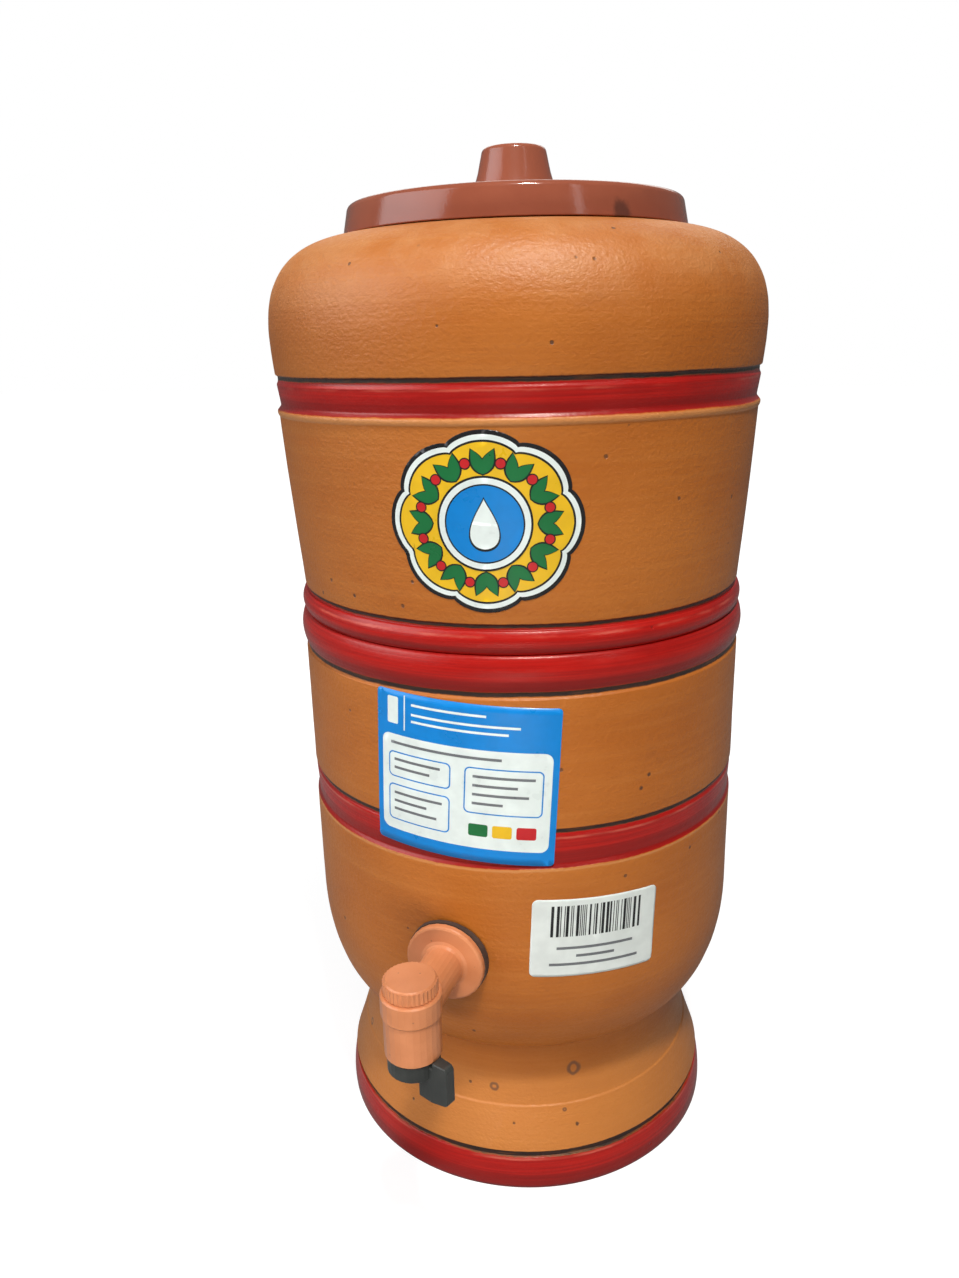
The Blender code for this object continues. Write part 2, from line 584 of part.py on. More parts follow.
def make_upper_vessel(parent, material):
    """The vessel with its floor, then the shoulder and the mouth's ring, luted on above it."""
    spigot = LOWER_INNER_RADIUS - SPIGOT_GAP
    low = UPPER_BASE_RADIUS - UPPER_WALL
    outline = [(STEM_HOLE_RADIUS, UPPER_FLOOR_TOP)]
    outline += arc_points(
        (low - UPPER_FLOOR_ROUND, UPPER_FLOOR_TOP + UPPER_FLOOR_ROUND), UPPER_FLOOR_ROUND, 270.0, 360.0, 3
    )
    outline.append((upper_inner_radius(SHOULDER_SEAM_HEIGHT), SHOULDER_SEAM_HEIGHT))
    outline += wall_outer_points()
    outline += [
        (spigot, UPPER_SEAT_HEIGHT),
        (spigot, UPPER_FLOOR_BOTTOM + SPIGOT_BEVEL),
        (spigot - SPIGOT_BEVEL, UPPER_FLOOR_BOTTOM),
        (STEM_HOLE_RADIUS, UPPER_FLOOR_BOTTOM),
    ]
    turned_piece("upper_vessel", outline, True, material, parent, VESSEL_FACETS)

    under = SHOULDER_SEAM_HEIGHT + SEAT_GAP
    shoulder = [(upper_inner_radius(under), under)]
    shoulder += superellipse_points(
        (MOUTH_RADIUS, SHOULDER_HEIGHT), UPPER_RADIUS - UPPER_WALL - MOUTH_RADIUS, SHOULDER_RISE - UPPER_WALL,
        SHOULDER_POWER, 0.0, 90.0, 4
    )
    shoulder.append((MOUTH_RADIUS, SHOULDER_TOP))
    turned_piece(
        "upper_shoulder", shoulder + shoulder_outer_points(), True, material, parent, VESSEL_FACETS
    )

    collar = MOUTH_COLLAR_RADIUS
    ring = [
        (MOUTH_RADIUS, SHOULDER_TOP + SEAT_GAP),
        (MOUTH_RADIUS, MOUTH_RIM_HEIGHT - MOUTH_RIM_ROUND),
        (MOUTH_RADIUS + MOUTH_RIM_ROUND, MOUTH_RIM_HEIGHT),
        (collar - MOUTH_RIM_ROUND, MOUTH_RIM_HEIGHT),
        (collar, MOUTH_RIM_HEIGHT - MOUTH_RIM_ROUND),
        (collar, SHOULDER_TOP + SEAT_GAP),
    ]
    turned_piece("mouth_ring", ring, True, material, parent, VESSEL_FACETS)


def make_lid(parent, material):
    """Lid with a rolled rim, a skirt round the mouth and a hollow knob, all of one thickness."""
    top = LID_TOP_HEIGHT
    under = LID_UNDER_HEIGHT
    crown = top + LID_CROWN
    knob_top = crown + KNOB_HEIGHT
    skirt_inner = LID_RADIUS - LID_THICKNESS
    outside = [(0.0, knob_top)]
    outside += arc_points((KNOB_TOP_RADIUS - KNOB_ROUND, knob_top - KNOB_ROUND), KNOB_ROUND, 90.0, 12.0, 3)
    outside.append((KNOB_MIDDLE_RADIUS, crown + KNOB_HEIGHT / 2))
    outside.append((KNOB_BASE_RADIUS, crown + 2 * EDGE_BREAK))
    outside.append((KNOB_BASE_RADIUS + KNOB_FLARE, crown))
    outside.append(((LID_RIM_RADIUS + KNOB_BASE_RADIUS) / 2, top + 0.85 * LID_CROWN))
    outside += arc_points(
        (LID_RIM_RADIUS - LID_RIM_ROUND, top - LID_RIM_ROUND), LID_RIM_ROUND, 90.0, 8.0, 4
    )
    outside.append((LID_RADIUS, LID_SKIRT_HEIGHT))
    inside = [
        (skirt_inner, LID_SKIRT_HEIGHT),
        (LID_RIM_RADIUS - LID_THICKNESS, under),
        (KNOB_BASE_RADIUS - KNOB_WALL, crown - LID_THICKNESS),
        (KNOB_MIDDLE_RADIUS - KNOB_WALL, crown + KNOB_HEIGHT / 2),
        (KNOB_TOP_RADIUS - KNOB_WALL, knob_top - KNOB_WALL - KNOB_ROUND / 2),
        (0.0, knob_top - KNOB_WALL),
    ]
    turned_piece("lid", outside + inside, False, material, parent, VESSEL_FACETS)


def make_candle(parent, ceramic, plastic, rubber):
    bottom = CANDLE_BASE_BOTTOM
    cup_inner = CANDLE_RADIUS + SEAT_GAP
    cup_outer = cup_inner + CANDLE_BASE_WALL
    cup_floor = bottom + CANDLE_BASE_FLOOR
    stem_end = CANDLE_NUT_TOP - CANDLE_NUT_HEIGHT - STEM_TAIL
    base = [
        (STEM_BORE_RADIUS, cup_floor),
        (cup_inner, cup_floor),
        (cup_inner, bottom + CANDLE_BASE_HEIGHT),
        (cup_outer, bottom + CANDLE_BASE_HEIGHT),
        (cup_outer + CANDLE_BASE_SWELL, bottom + CANDLE_BASE_ROUND),
        (cup_outer + CANDLE_BASE_SWELL - CANDLE_BASE_ROUND, bottom),
        (STEM_RADIUS, bottom),
        (STEM_RADIUS, stem_end + STEM_BEVEL),
        (STEM_RADIUS - STEM_BEVEL, stem_end),
        (STEM_BORE_RADIUS, stem_end),
    ]
    turned_piece("candle_base", base, True, plastic, parent, CANDLE_FACETS)

    shell_bottom = cup_floor + SEAT_GAP
    shell_top = shell_bottom + CANDLE_HEIGHT
    dome = CANDLE_RADIUS * CANDLE_DOME
    cavity = CANDLE_RADIUS - CANDLE_WALL
    cavity_dome = cavity * CANDLE_DOME
    cavity_top = shell_top - CANDLE_WALL
    shell = superellipse_points((0.0, shell_top - dome), CANDLE_RADIUS, dome, 2.0, 90.0, 0.0, 5)
    shell.append((CANDLE_RADIUS, shell_bottom))
    shell.append((cavity, shell_bottom))
    shell += superellipse_points((0.0, cavity_top - cavity_dome), cavity, cavity_dome, 2.0, 0.0, 90.0, 4)
    turned_piece("candle_shell", shell, False, ceramic, parent, CANDLE_FACETS)

    washer_bottom = UPPER_FLOOR_TOP + SEAT_GAP
    turned_piece(
        "candle_upper_washer",
        ring_points(STEM_RADIUS + SEAT_GAP, UPPER_WASHER_RADIUS, washer_bottom,
                    washer_bottom + CANDLE_WASHER_THICKNESS),
        True, rubber, parent, RING_FACETS,
    )
    turned_piece(
        "candle_lower_washer",
        ring_points(STEM_RADIUS + SEAT_GAP, LOWER_WASHER_RADIUS,
                    LOWER_WASHER_TOP - CANDLE_WASHER_THICKNESS, LOWER_WASHER_TOP),
        True, rubber, parent, RING_FACETS,
    )
    make_candle_nut(parent, plastic)


def make_candle_nut(parent, material):
    """A wing nut: a turned hub with two wings."""
    top = CANDLE_NUT_TOP
    bottom = top - CANDLE_NUT_HEIGHT
    nut = turned_piece(
        "candle_nut",
        [(0.0, top), (CANDLE_NUT_RADIUS, top), (CANDLE_NUT_RADIUS, bottom + CANDLE_NUT_BEVEL),
         (CANDLE_NUT_RADIUS - CANDLE_NUT_BEVEL, bottom), (0.0, bottom)],
        False, material, parent, RING_FACETS,
    )
    outline = [(-CANDLE_NUT_WING_REACH, bottom + 0.35 * CANDLE_NUT_HEIGHT),
               (-CANDLE_NUT_RADIUS / 2, bottom), (CANDLE_NUT_RADIUS / 2, bottom),
               (CANDLE_NUT_WING_REACH, bottom + 0.35 * CANDLE_NUT_HEIGHT),
               (CANDLE_NUT_WING_REACH, top - 0.1 * CANDLE_NUT_HEIGHT),
               (-CANDLE_NUT_WING_REACH, top - 0.1 * CANDLE_NUT_HEIGHT)]
    wings = add_helper("candle_nut_wings", prism_mesh("candle_nut_wings", outline,
                                                      CANDLE_NUT_WING_THICKNESS, "XZ"), parent)
    combine(nut, wings, "UNION")
    bore = turned_helper("candle_nut_bore", cylinder_points(STEM_RADIUS + SEAT_GAP, bottom - OVERCUT,
                                                            top + OVERCUT), False, parent, CANDLE_FACETS)
    combine(nut, bore, "DIFFERENCE")


def prism_mesh(name, outline, depth, plane):
    """A flat outline, given thickness on both sides of its plane, which is XY or XZ."""
    made = bmesh.new()
    if plane == "XZ":
        corners = [made.verts.new((a, -depth / 2, b)) for a, b in outline]
        push = (0.0, depth, 0.0)
    else:
        corners = [made.verts.new((a, b, -depth / 2)) for a, b in outline]
        push = (0.0, 0.0, depth)
    face = made.faces.new(corners)
    moved = bmesh.ops.extrude_face_region(made, geom=[face])
    raised = [part for part in moved["geom"] if isinstance(part, bmesh.types.BMVert)]
    bmesh.ops.translate(made, verts=raised, vec=push)
    bmesh.ops.recalc_face_normals(made, faces=made.faces)
    mesh = bpy.data.meshes.new(name)
    made.to_mesh(mesh)
    made.free()
    return mesh


def make_tap_body(parent, material):
    """Barrel, stem and flange in one moulding, with a threaded tail through the clay."""
    outline = [
        (0.0, BARREL_TOP),
        (BARREL_TOP_RADIUS - BARREL_LIP, BARREL_TOP),
        (BARREL_TOP_RADIUS, BARREL_TOP - BARREL_LIP),
        (BARREL_TOP_RADIUS, BARREL_STEP + EDGE_BREAK),
        (BARREL_RADIUS, BARREL_STEP - EDGE_BREAK),
        (BARREL_RADIUS, BARREL_BOTTOM + EDGE_BREAK),
        (BARREL_RADIUS - EDGE_BREAK, BARREL_BOTTOM),
        (0.0, BARREL_BOTTOM),
    ]
    body = turned_piece("tap_body", outline, False, material, parent, TAP_FACETS)
    body.location = (0.0, -BARREL_REACH, 0.0)

    stem_end = BARREL_REACH - (BARREL_BORE_RADIUS + BARREL_RADIUS) / 2
    stem_outline = [
        (0.0, stem_end),
        (TAP_STEM_RADIUS, stem_end),
        (TAP_STEM_RADIUS, FLANGE_FRONT + STEM_FILLET),
        (TAP_STEM_RADIUS + STEM_FILLET / 3, FLANGE_FRONT + STEM_FILLET / 3),
        (TAP_STEM_RADIUS + STEM_FILLET, FLANGE_FRONT),
        (FLANGE_RADIUS - FLANGE_EDGE, FLANGE_FRONT),
        (FLANGE_RADIUS - FLANGE_EDGE / 3, FLANGE_FRONT - FLANGE_EDGE / 3),
        (FLANGE_RADIUS, FLANGE_FRONT - FLANGE_EDGE),
        (FLANGE_RADIUS, FLANGE_BACK),
        (TAP_STEM_RADIUS, FLANGE_BACK),
        (TAP_STEM_RADIUS, TAP_TAIL_END + EDGE_BREAK),
        (TAP_STEM_RADIUS - EDGE_BREAK, TAP_TAIL_END),
        (0.0, TAP_TAIL_END),
    ]
    stem = turned_helper("tap_stem", stem_outline, False, parent, TAP_FACETS)
    point_to_tap(stem)
    combine(body, stem, "UNION")

    bore_outline = [
        (0.0, BARREL_TOP + OVERCUT),
        (CAP_SEAT_RADIUS, BARREL_TOP + OVERCUT),
        (CAP_SEAT_RADIUS, BARREL_LEDGE),
        (BARREL_BORE_RADIUS, BARREL_LEDGE),
        (BARREL_BORE_RADIUS, BARREL_BOTTOM - OVERCUT),
        (0.0, BARREL_BOTTOM - OVERCUT),
    ]
    bore = turned_helper("barrel_bore", bore_outline, False, parent, TAP_FACETS)
    bore.location = (0.0, -BARREL_REACH, 0.0)
    combine(body, bore, "DIFFERENCE")

    port_start = BARREL_REACH - BARREL_BORE_RADIUS - TAP_PORT_LENGTH
    inlet_outline = [
        (0.0, BARREL_REACH),
        (TAP_PORT_RADIUS, BARREL_REACH),
        (TAP_PORT_RADIUS, port_start),
        (TAP_BORE_RADIUS, port_start),
        (TAP_BORE_RADIUS, TAP_TAIL_END - OVERCUT),
        (0.0, TAP_TAIL_END - OVERCUT),
    ]
    inlet = turned_helper("tap_inlet", inlet_outline, False, parent, RING_FACETS)
    point_to_tap(inlet)
    combine(body, inlet, "DIFFERENCE")


def make_tap_clamp(parent, rubber, plastic):
    """Both gaskets, curved to the clay where they meet it, and the nut inside."""
    hole = TAP_STEM_RADIUS + SEAT_GAP
    outer_gasket = turned_piece(
        "tap_outer_gasket",
        ring_points(hole, FLANGE_RADIUS + TAP_GASKET_OVERHANG, LOWER_INNER_RADIUS, TAP_GASKET_FACE), True,
        rubber, parent, TAP_FACETS,
    )
    point_to_tap(outer_gasket)
    wall = turned_helper(
        "outer_wall_shape", cylinder_points(LOWER_RADIUS + SEAT_GAP, 0.0, LOWER_RIM_HEIGHT), False,
        parent, FINE_FACETS,
    )
    combine(outer_gasket, wall, "DIFFERENCE")

    inner_gasket = turned_piece(
        "tap_inner_gasket",
        ring_points(hole, TAP_INNER_GASKET_RADIUS, TAP_NUT_FACE + SEAT_GAP, LOWER_RADIUS), True, rubber,
        parent, TAP_FACETS,
    )
    point_to_tap(inner_gasket)
    hollow_radius = LOWER_INNER_RADIUS - SEAT_GAP - TAP_INNER_GASKET_RELIEF
    hollow = turned_helper(
        "inner_wall_shape", cylinder_points(hollow_radius, 0.0, LOWER_RIM_HEIGHT), False, parent,
        FINE_FACETS,
    )
    combine(inner_gasket, hollow, "INTERSECT")

    nut = turned_piece(
        "tap_nut",
        ring_points(hole, TAP_NUT_RADIUS, TAP_NUT_FACE - TAP_NUT_THICKNESS, TAP_NUT_FACE), True, plastic,
        parent, RING_FACETS,
    )
    point_to_tap(nut)
    flats = []
    corner_reach = TAP_NUT_FLAT / math.cos(math.radians(30.0))
    for corner in range(6):
        angle = math.radians(60.0 * corner)
        flats.append((corner_reach * math.cos(angle), corner_reach * math.sin(angle)))
    hexagon = add_helper("tap_nut_flats", prism_mesh("tap_nut_flats", flats, 4 * TAP_NUT_THICKNESS,
                                                     "XY"), parent)
    hexagon.rotation_euler = (math.radians(90.0), 0.0, 0.0)
    hexagon.location = (0.0, TAP_NUT_THICKNESS / 2 - TAP_NUT_FACE, STEM_HEIGHT)
    combine(nut, hexagon, "INTERSECT")


def ribbed_disc_mesh(name, radius, low, high):
    """A disc whose side is moved in and out as ribs, with a plain edge at its top."""
    made = bmesh.new()
    facets = 2 * CAP_RIB_COUNT
    bmesh.ops.create_cone(made, cap_ends=True, segments=facets, radius1=radius, radius2=radius,
                          depth=high - low)
    bmesh.ops.translate(made, verts=made.verts, vec=(0.0, 0.0, (high + low) / 2))
    for vert in made.verts:
        turn = math.atan2(vert.co.y, vert.co.x) / math.tau * facets
        if round(turn) % 2:
            share = (radius - CAP_RIB_DEPTH) / radius
            vert.co.x *= share
            vert.co.y *= share
    mesh = bpy.data.meshes.new(name)
    made.to_mesh(mesh)
    made.free()
    return mesh


def make_tap_cap(parent, plastic, rubber):
    """The ribbed cap, and the ring that it presses on the barrel's ledge."""
    low = BARREL_TOP + SEAT_GAP
    top = low + CAP_HEIGHT
    skirt_bottom = CAP_GASKET_TOP + SEAT_GAP
    smooth = CAP_RADIUS - CAP_RIB_DEPTH - CAP_CORE_DRAW
    core = [
        (0.0, top),
        (smooth - EDGE_BREAK, top),
        (smooth, top - EDGE_BREAK),
        (smooth, low + CAP_CORE_RISE),
        (CAP_SKIRT_OUTER, low + CAP_CORE_RISE),
        (CAP_SKIRT_OUTER, skirt_bottom),
        (CAP_SKIRT_INNER, skirt_bottom),
        (CAP_SKIRT_INNER, top - CAP_ROOF),
        (0.0, top - CAP_ROOF),
    ]
    cap = turned_piece("tap_cap", core, False, plastic, parent, TAP_FACETS)
    ribs = add_helper(
        "tap_cap_ribs", ribbed_disc_mesh("tap_cap_ribs", CAP_RADIUS, low, top - CAP_RIB_DROP), parent
    )
    clear = turned_helper(
        "tap_cap_hollow", cylinder_points(CAP_SKIRT_INNER, low - OVERCUT, top - CAP_ROOF), False, parent,
        TAP_FACETS,
    )
    combine(ribs, clear, "DIFFERENCE")
    combine(cap, ribs, "UNION")
    gasket = turned_piece(
        "cap_gasket",
        ring_points(CAP_SKIRT_INNER - CAP_GASKET_LIP, CAP_SKIRT_OUTER, CAP_GASKET_BOTTOM, CAP_GASKET_TOP),
        True, rubber, parent, RING_FACETS,
    )
    for thing in (cap, ribs, clear, gasket):
        thing.location = (0.0, -BARREL_REACH, 0.0)


def groove_points(height):
    """Three sides of a ring's groove in the plug, from its top edge down."""
    floor = PLUG_RADIUS - RING_GROOVE_DEPTH
    high = height + RING_GROOVE_HEIGHT / 2
    low = height - RING_GROOVE_HEIGHT / 2
    return [(PLUG_RADIUS, high), (floor, high), (floor, low), (PLUG_RADIUS, low)]


def make_tap_plug(parent, material):
    """The plug valve: a shaft with two ring grooves, a side port, a spout bore, a collar and a lever."""
    outline = [(0.0, PLUG_TOP), (PLUG_RADIUS - EDGE_BREAK, PLUG_TOP), (PLUG_RADIUS, PLUG_TOP - EDGE_BREAK)]
    outline += groove_points(UPPER_RING_HEIGHT)
    outline += groove_points(LOWER_RING_HEIGHT)
    outline += [
        (PLUG_RADIUS, COLLAR_TOP),
        (COLLAR_RADIUS, COLLAR_TOP),
        (COLLAR_RADIUS, COLLAR_BOTTOM + COLLAR_ROUND),
        (COLLAR_RADIUS - COLLAR_ROUND, COLLAR_BOTTOM),
        (0.0, COLLAR_BOTTOM),
    ]
    plug = turned_piece("tap_plug", outline, False, material, parent, TAP_FACETS)
    lever = make_lever(parent)
    combine(plug, lever, "UNION")

    spout_top = STEM_HEIGHT + PLUG_PORT_RADIUS + SPOUT_ROOF
    spout = turned_helper(
        "spout_bore",
        cylinder_points(SPOUT_BORE_RADIUS, COLLAR_BOTTOM - OVERCUT, spout_top),
        False, parent, RING_FACETS,
    )
    combine(plug, spout, "DIFFERENCE")
    port = turned_helper(
        "plug_port", cylinder_points(PLUG_PORT_RADIUS, 0.0, PLUG_RADIUS + OVERCUT), False, parent,
        RING_FACETS,
    )
    port.rotation_euler = (0.0, math.radians(-90.0), 0.0)
    port.location = (0.0, 0.0, STEM_HEIGHT)
    combine(plug, port, "DIFFERENCE")
    pilot = turned_helper(
        "screw_hole",
        cylinder_points(SCREW_RADIUS + SEAT_GAP, PLUG_TOP - SCREW_LENGTH - SEAT_GAP, PLUG_TOP + OVERCUT),
        False, parent, RING_FACETS,
    )
    combine(plug, pilot, "DIFFERENCE")
    return plug


def make_lever(parent):
    """The lever hangs from the collar: a side outline crossed with a plan that thins to its end."""
    top = BARREL_BOTTOM + LEVER_TOP_RISE
    joint = COLLAR_TOP - LEVER_JOINT_DROP
    bottom = COLLAR_BOTTOM - LEVER_DROP
    beside_barrel = BARREL_RADIUS + LEVER_BARREL_GAP
    side = [
        (LEVER_START, bottom + LEVER_START_RISE),
        (LEVER_BEND, bottom),
        (LEVER_REACH - LEVER_CORNER, bottom + LEVER_END_RISE - LEVER_CORNER),
        (LEVER_REACH, bottom + LEVER_END_RISE),
        (LEVER_REACH, top - LEVER_CORNER),
        (LEVER_REACH - LEVER_CORNER, top),
        (beside_barrel, top),
        (beside_barrel, joint),
        (LEVER_START, joint),
    ]
    half = LEVER_THICKNESS / 2
    end_half = LEVER_END_THICKNESS / 2
    start = LEVER_START - OVERCUT
    end = LEVER_REACH + OVERCUT
    plan = [(start, -half), (LEVER_BEND, -half), (end, -end_half), (end, end_half),
            (LEVER_BEND, half), (start, half)]
    lever = add_helper("lever_side", prism_mesh("lever_side", side, 2 * LEVER_THICKNESS, "XZ"), parent)
    cut = add_helper("lever_plan", prism_mesh("lever_plan", plan, 4 * STEM_HEIGHT, "XY"), parent)
    combine(lever, cut, "INTERSECT")
    rounding = lever.modifiers.new("Round", "BEVEL")
    rounding.width = LEVER_ROUND
    rounding.segments = 1
    rounding.limit_method = "ANGLE"
    rounding.angle_limit = math.radians(25.0)
    return lever


def make_plug_fittings(parent, rubber, steel):
    """Rings in the plug's grooves, and the spring, washer and screw over its top."""
    ring_inner = PLUG_RADIUS - RING_GROOVE_DEPTH + RING_GROOVE_ROOM
    for name, height in (("plug_upper_ring", UPPER_RING_HEIGHT), ("plug_lower_ring", LOWER_RING_HEIGHT)):
        centre = (ring_inner + RING_SECTION / 2, height)
        section = arc_points(centre, RING_SECTION / 2, 120.0, -180.0, 5)
        turned_piece(name, section, True, rubber, parent, RING_FACETS)

    washer_low = PLUG_TOP + SEAT_GAP
    washer_top = washer_low + PLUG_WASHER_THICKNESS
    make_spring(parent, steel, BARREL_LEDGE + SEAT_GAP, PLUG_TOP)
    turned_piece(
        "plug_washer",
        ring_points(SCREW_RADIUS + SEAT_GAP, PLUG_WASHER_RADIUS, washer_low, washer_top),
        True, steel, parent, RING_FACETS,
    )
    head_low = washer_top + SEAT_GAP
    head_top = head_low + SCREW_HEAD_HEIGHT
    screw = [
        (0.0, head_top),
        (0.6 * SCREW_HEAD_RADIUS, head_top),
        (SCREW_HEAD_RADIUS, head_low + 0.4 * SCREW_HEAD_HEIGHT),
        (SCREW_HEAD_RADIUS, head_low),
        (SCREW_RADIUS, head_low),
        (SCREW_RADIUS, PLUG_TOP - SCREW_LENGTH + EDGE_BREAK),
        (0.4 * SCREW_RADIUS, PLUG_TOP - SCREW_LENGTH),
        (0.0, PLUG_TOP - SCREW_LENGTH),
    ]
    turned_piece("plug_screw", screw, False, steel, parent, RING_FACETS)


def make_spring(parent, material, low, high):
    """A coil spring drawn as one open helix."""
    curve = bpy.data.curves.new("plug_spring", "CURVE")
    curve.dimensions = "3D"
    curve.bevel_depth = SPRING_WIRE
    curve.bevel_resolution = 1
    curve.use_fill_caps = True
    steps = SPRING_STEPS * SPRING_TURNS
    line = curve.splines.new("POLY")
    line.points.add(steps)
    for step in range(steps + 1):
        share = step / steps
        angle = math.tau * SPRING_TURNS * share
        height = low + SPRING_WIRE + (high - low - 2 * SPRING_WIRE) * share
        line.points[step].co = (SPRING_RADIUS * math.cos(angle), SPRING_RADIUS * math.sin(angle), height, 1.0)
    made = bpy.data.objects.new("plug_spring", curve)
    PIECES.objects.link(made)
    made.parent = parent
    made.modifiers.new("Triangles", "TRIANGULATE")
    curve.materials.append(material)


def main():
    clay = make_material("painted_clay", CLAY, 0.55)
    lid_plastic = make_material("brown_plastic", LID_BROWN, 0.22)
    ceramic = make_material("candle_ceramic", CANDLE_WHITE, 0.85)
    white_plastic = make_material("white_plastic", WHITE_PLASTIC, 0.45)
    terracotta = make_material("terracotta_plastic", TAP_TERRACOTTA, 0.38)
    black_plastic = make_material("black_plastic", TAP_BLACK, 0.42)
    brown_rubber = make_material("brown_rubber", RUBBER_BROWN, 0.80)
    black_rubber = make_material("black_rubber", RUBBER_BLACK, 0.70)
    steel = make_material("steel", STEEL, 0.30, 1.0)

    lower = make_empty("lower_part", (0.0, AXIS_Y, 0.0))
    upper = make_empty("upper_part", (0.0, 0.0, 0.0), lower)
    cover = make_empty("lid_part", (0.0, 0.0, 0.0), upper)
    lever = make_empty("plug_part", (0.0, -BARREL_REACH, 0.0), lower)
    lever.rotation_euler = (0.0, 0.0, LEVER_ANGLE - math.radians(90.0))

    make_lower_vessel(lower, clay)
    make_upper_vessel(upper, clay)
    make_lid(cover, lid_plastic)
    make_candle(upper, ceramic, white_plastic, black_rubber)
    make_tap_body(lower, terracotta)
    make_tap_clamp(lower, brown_rubber, terracotta)
    make_tap_cap(lower, terracotta, black_rubber)
    make_tap_plug(lever, black_plastic)
    make_plug_fittings(lever, black_rubber, steel)


clear_scene()
PIECES = make_collection("clay_water_filter")
HELPERS = make_collection("cutters")
main()
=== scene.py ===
"""Looks of the clay water filter: turned clay, painted bands, labels, plastics, light and camera."""
import math
import random

import bmesh
import bpy
from mathutils import Matrix, Vector, noise


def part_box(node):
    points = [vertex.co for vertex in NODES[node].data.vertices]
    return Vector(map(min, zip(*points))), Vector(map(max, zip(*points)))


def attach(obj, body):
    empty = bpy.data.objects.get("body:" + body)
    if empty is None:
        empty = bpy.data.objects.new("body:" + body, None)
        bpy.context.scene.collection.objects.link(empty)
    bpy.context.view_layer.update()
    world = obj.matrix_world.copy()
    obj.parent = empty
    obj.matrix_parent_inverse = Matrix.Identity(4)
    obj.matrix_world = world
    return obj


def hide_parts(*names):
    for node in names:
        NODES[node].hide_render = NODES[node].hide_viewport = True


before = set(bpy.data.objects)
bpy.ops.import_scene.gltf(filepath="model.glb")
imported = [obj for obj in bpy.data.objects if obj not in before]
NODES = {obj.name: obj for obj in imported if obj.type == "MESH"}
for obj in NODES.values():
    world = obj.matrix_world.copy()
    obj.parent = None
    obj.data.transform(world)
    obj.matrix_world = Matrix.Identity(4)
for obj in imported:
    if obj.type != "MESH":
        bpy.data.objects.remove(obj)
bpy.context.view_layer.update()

MM = 0.001
TINY = 1e-6
SCENE = bpy.context.scene
vessel_low, vessel_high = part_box("upper_vessel")
AXIS_Y = (vessel_low.y + vessel_high.y) / 2


# Shader nodes

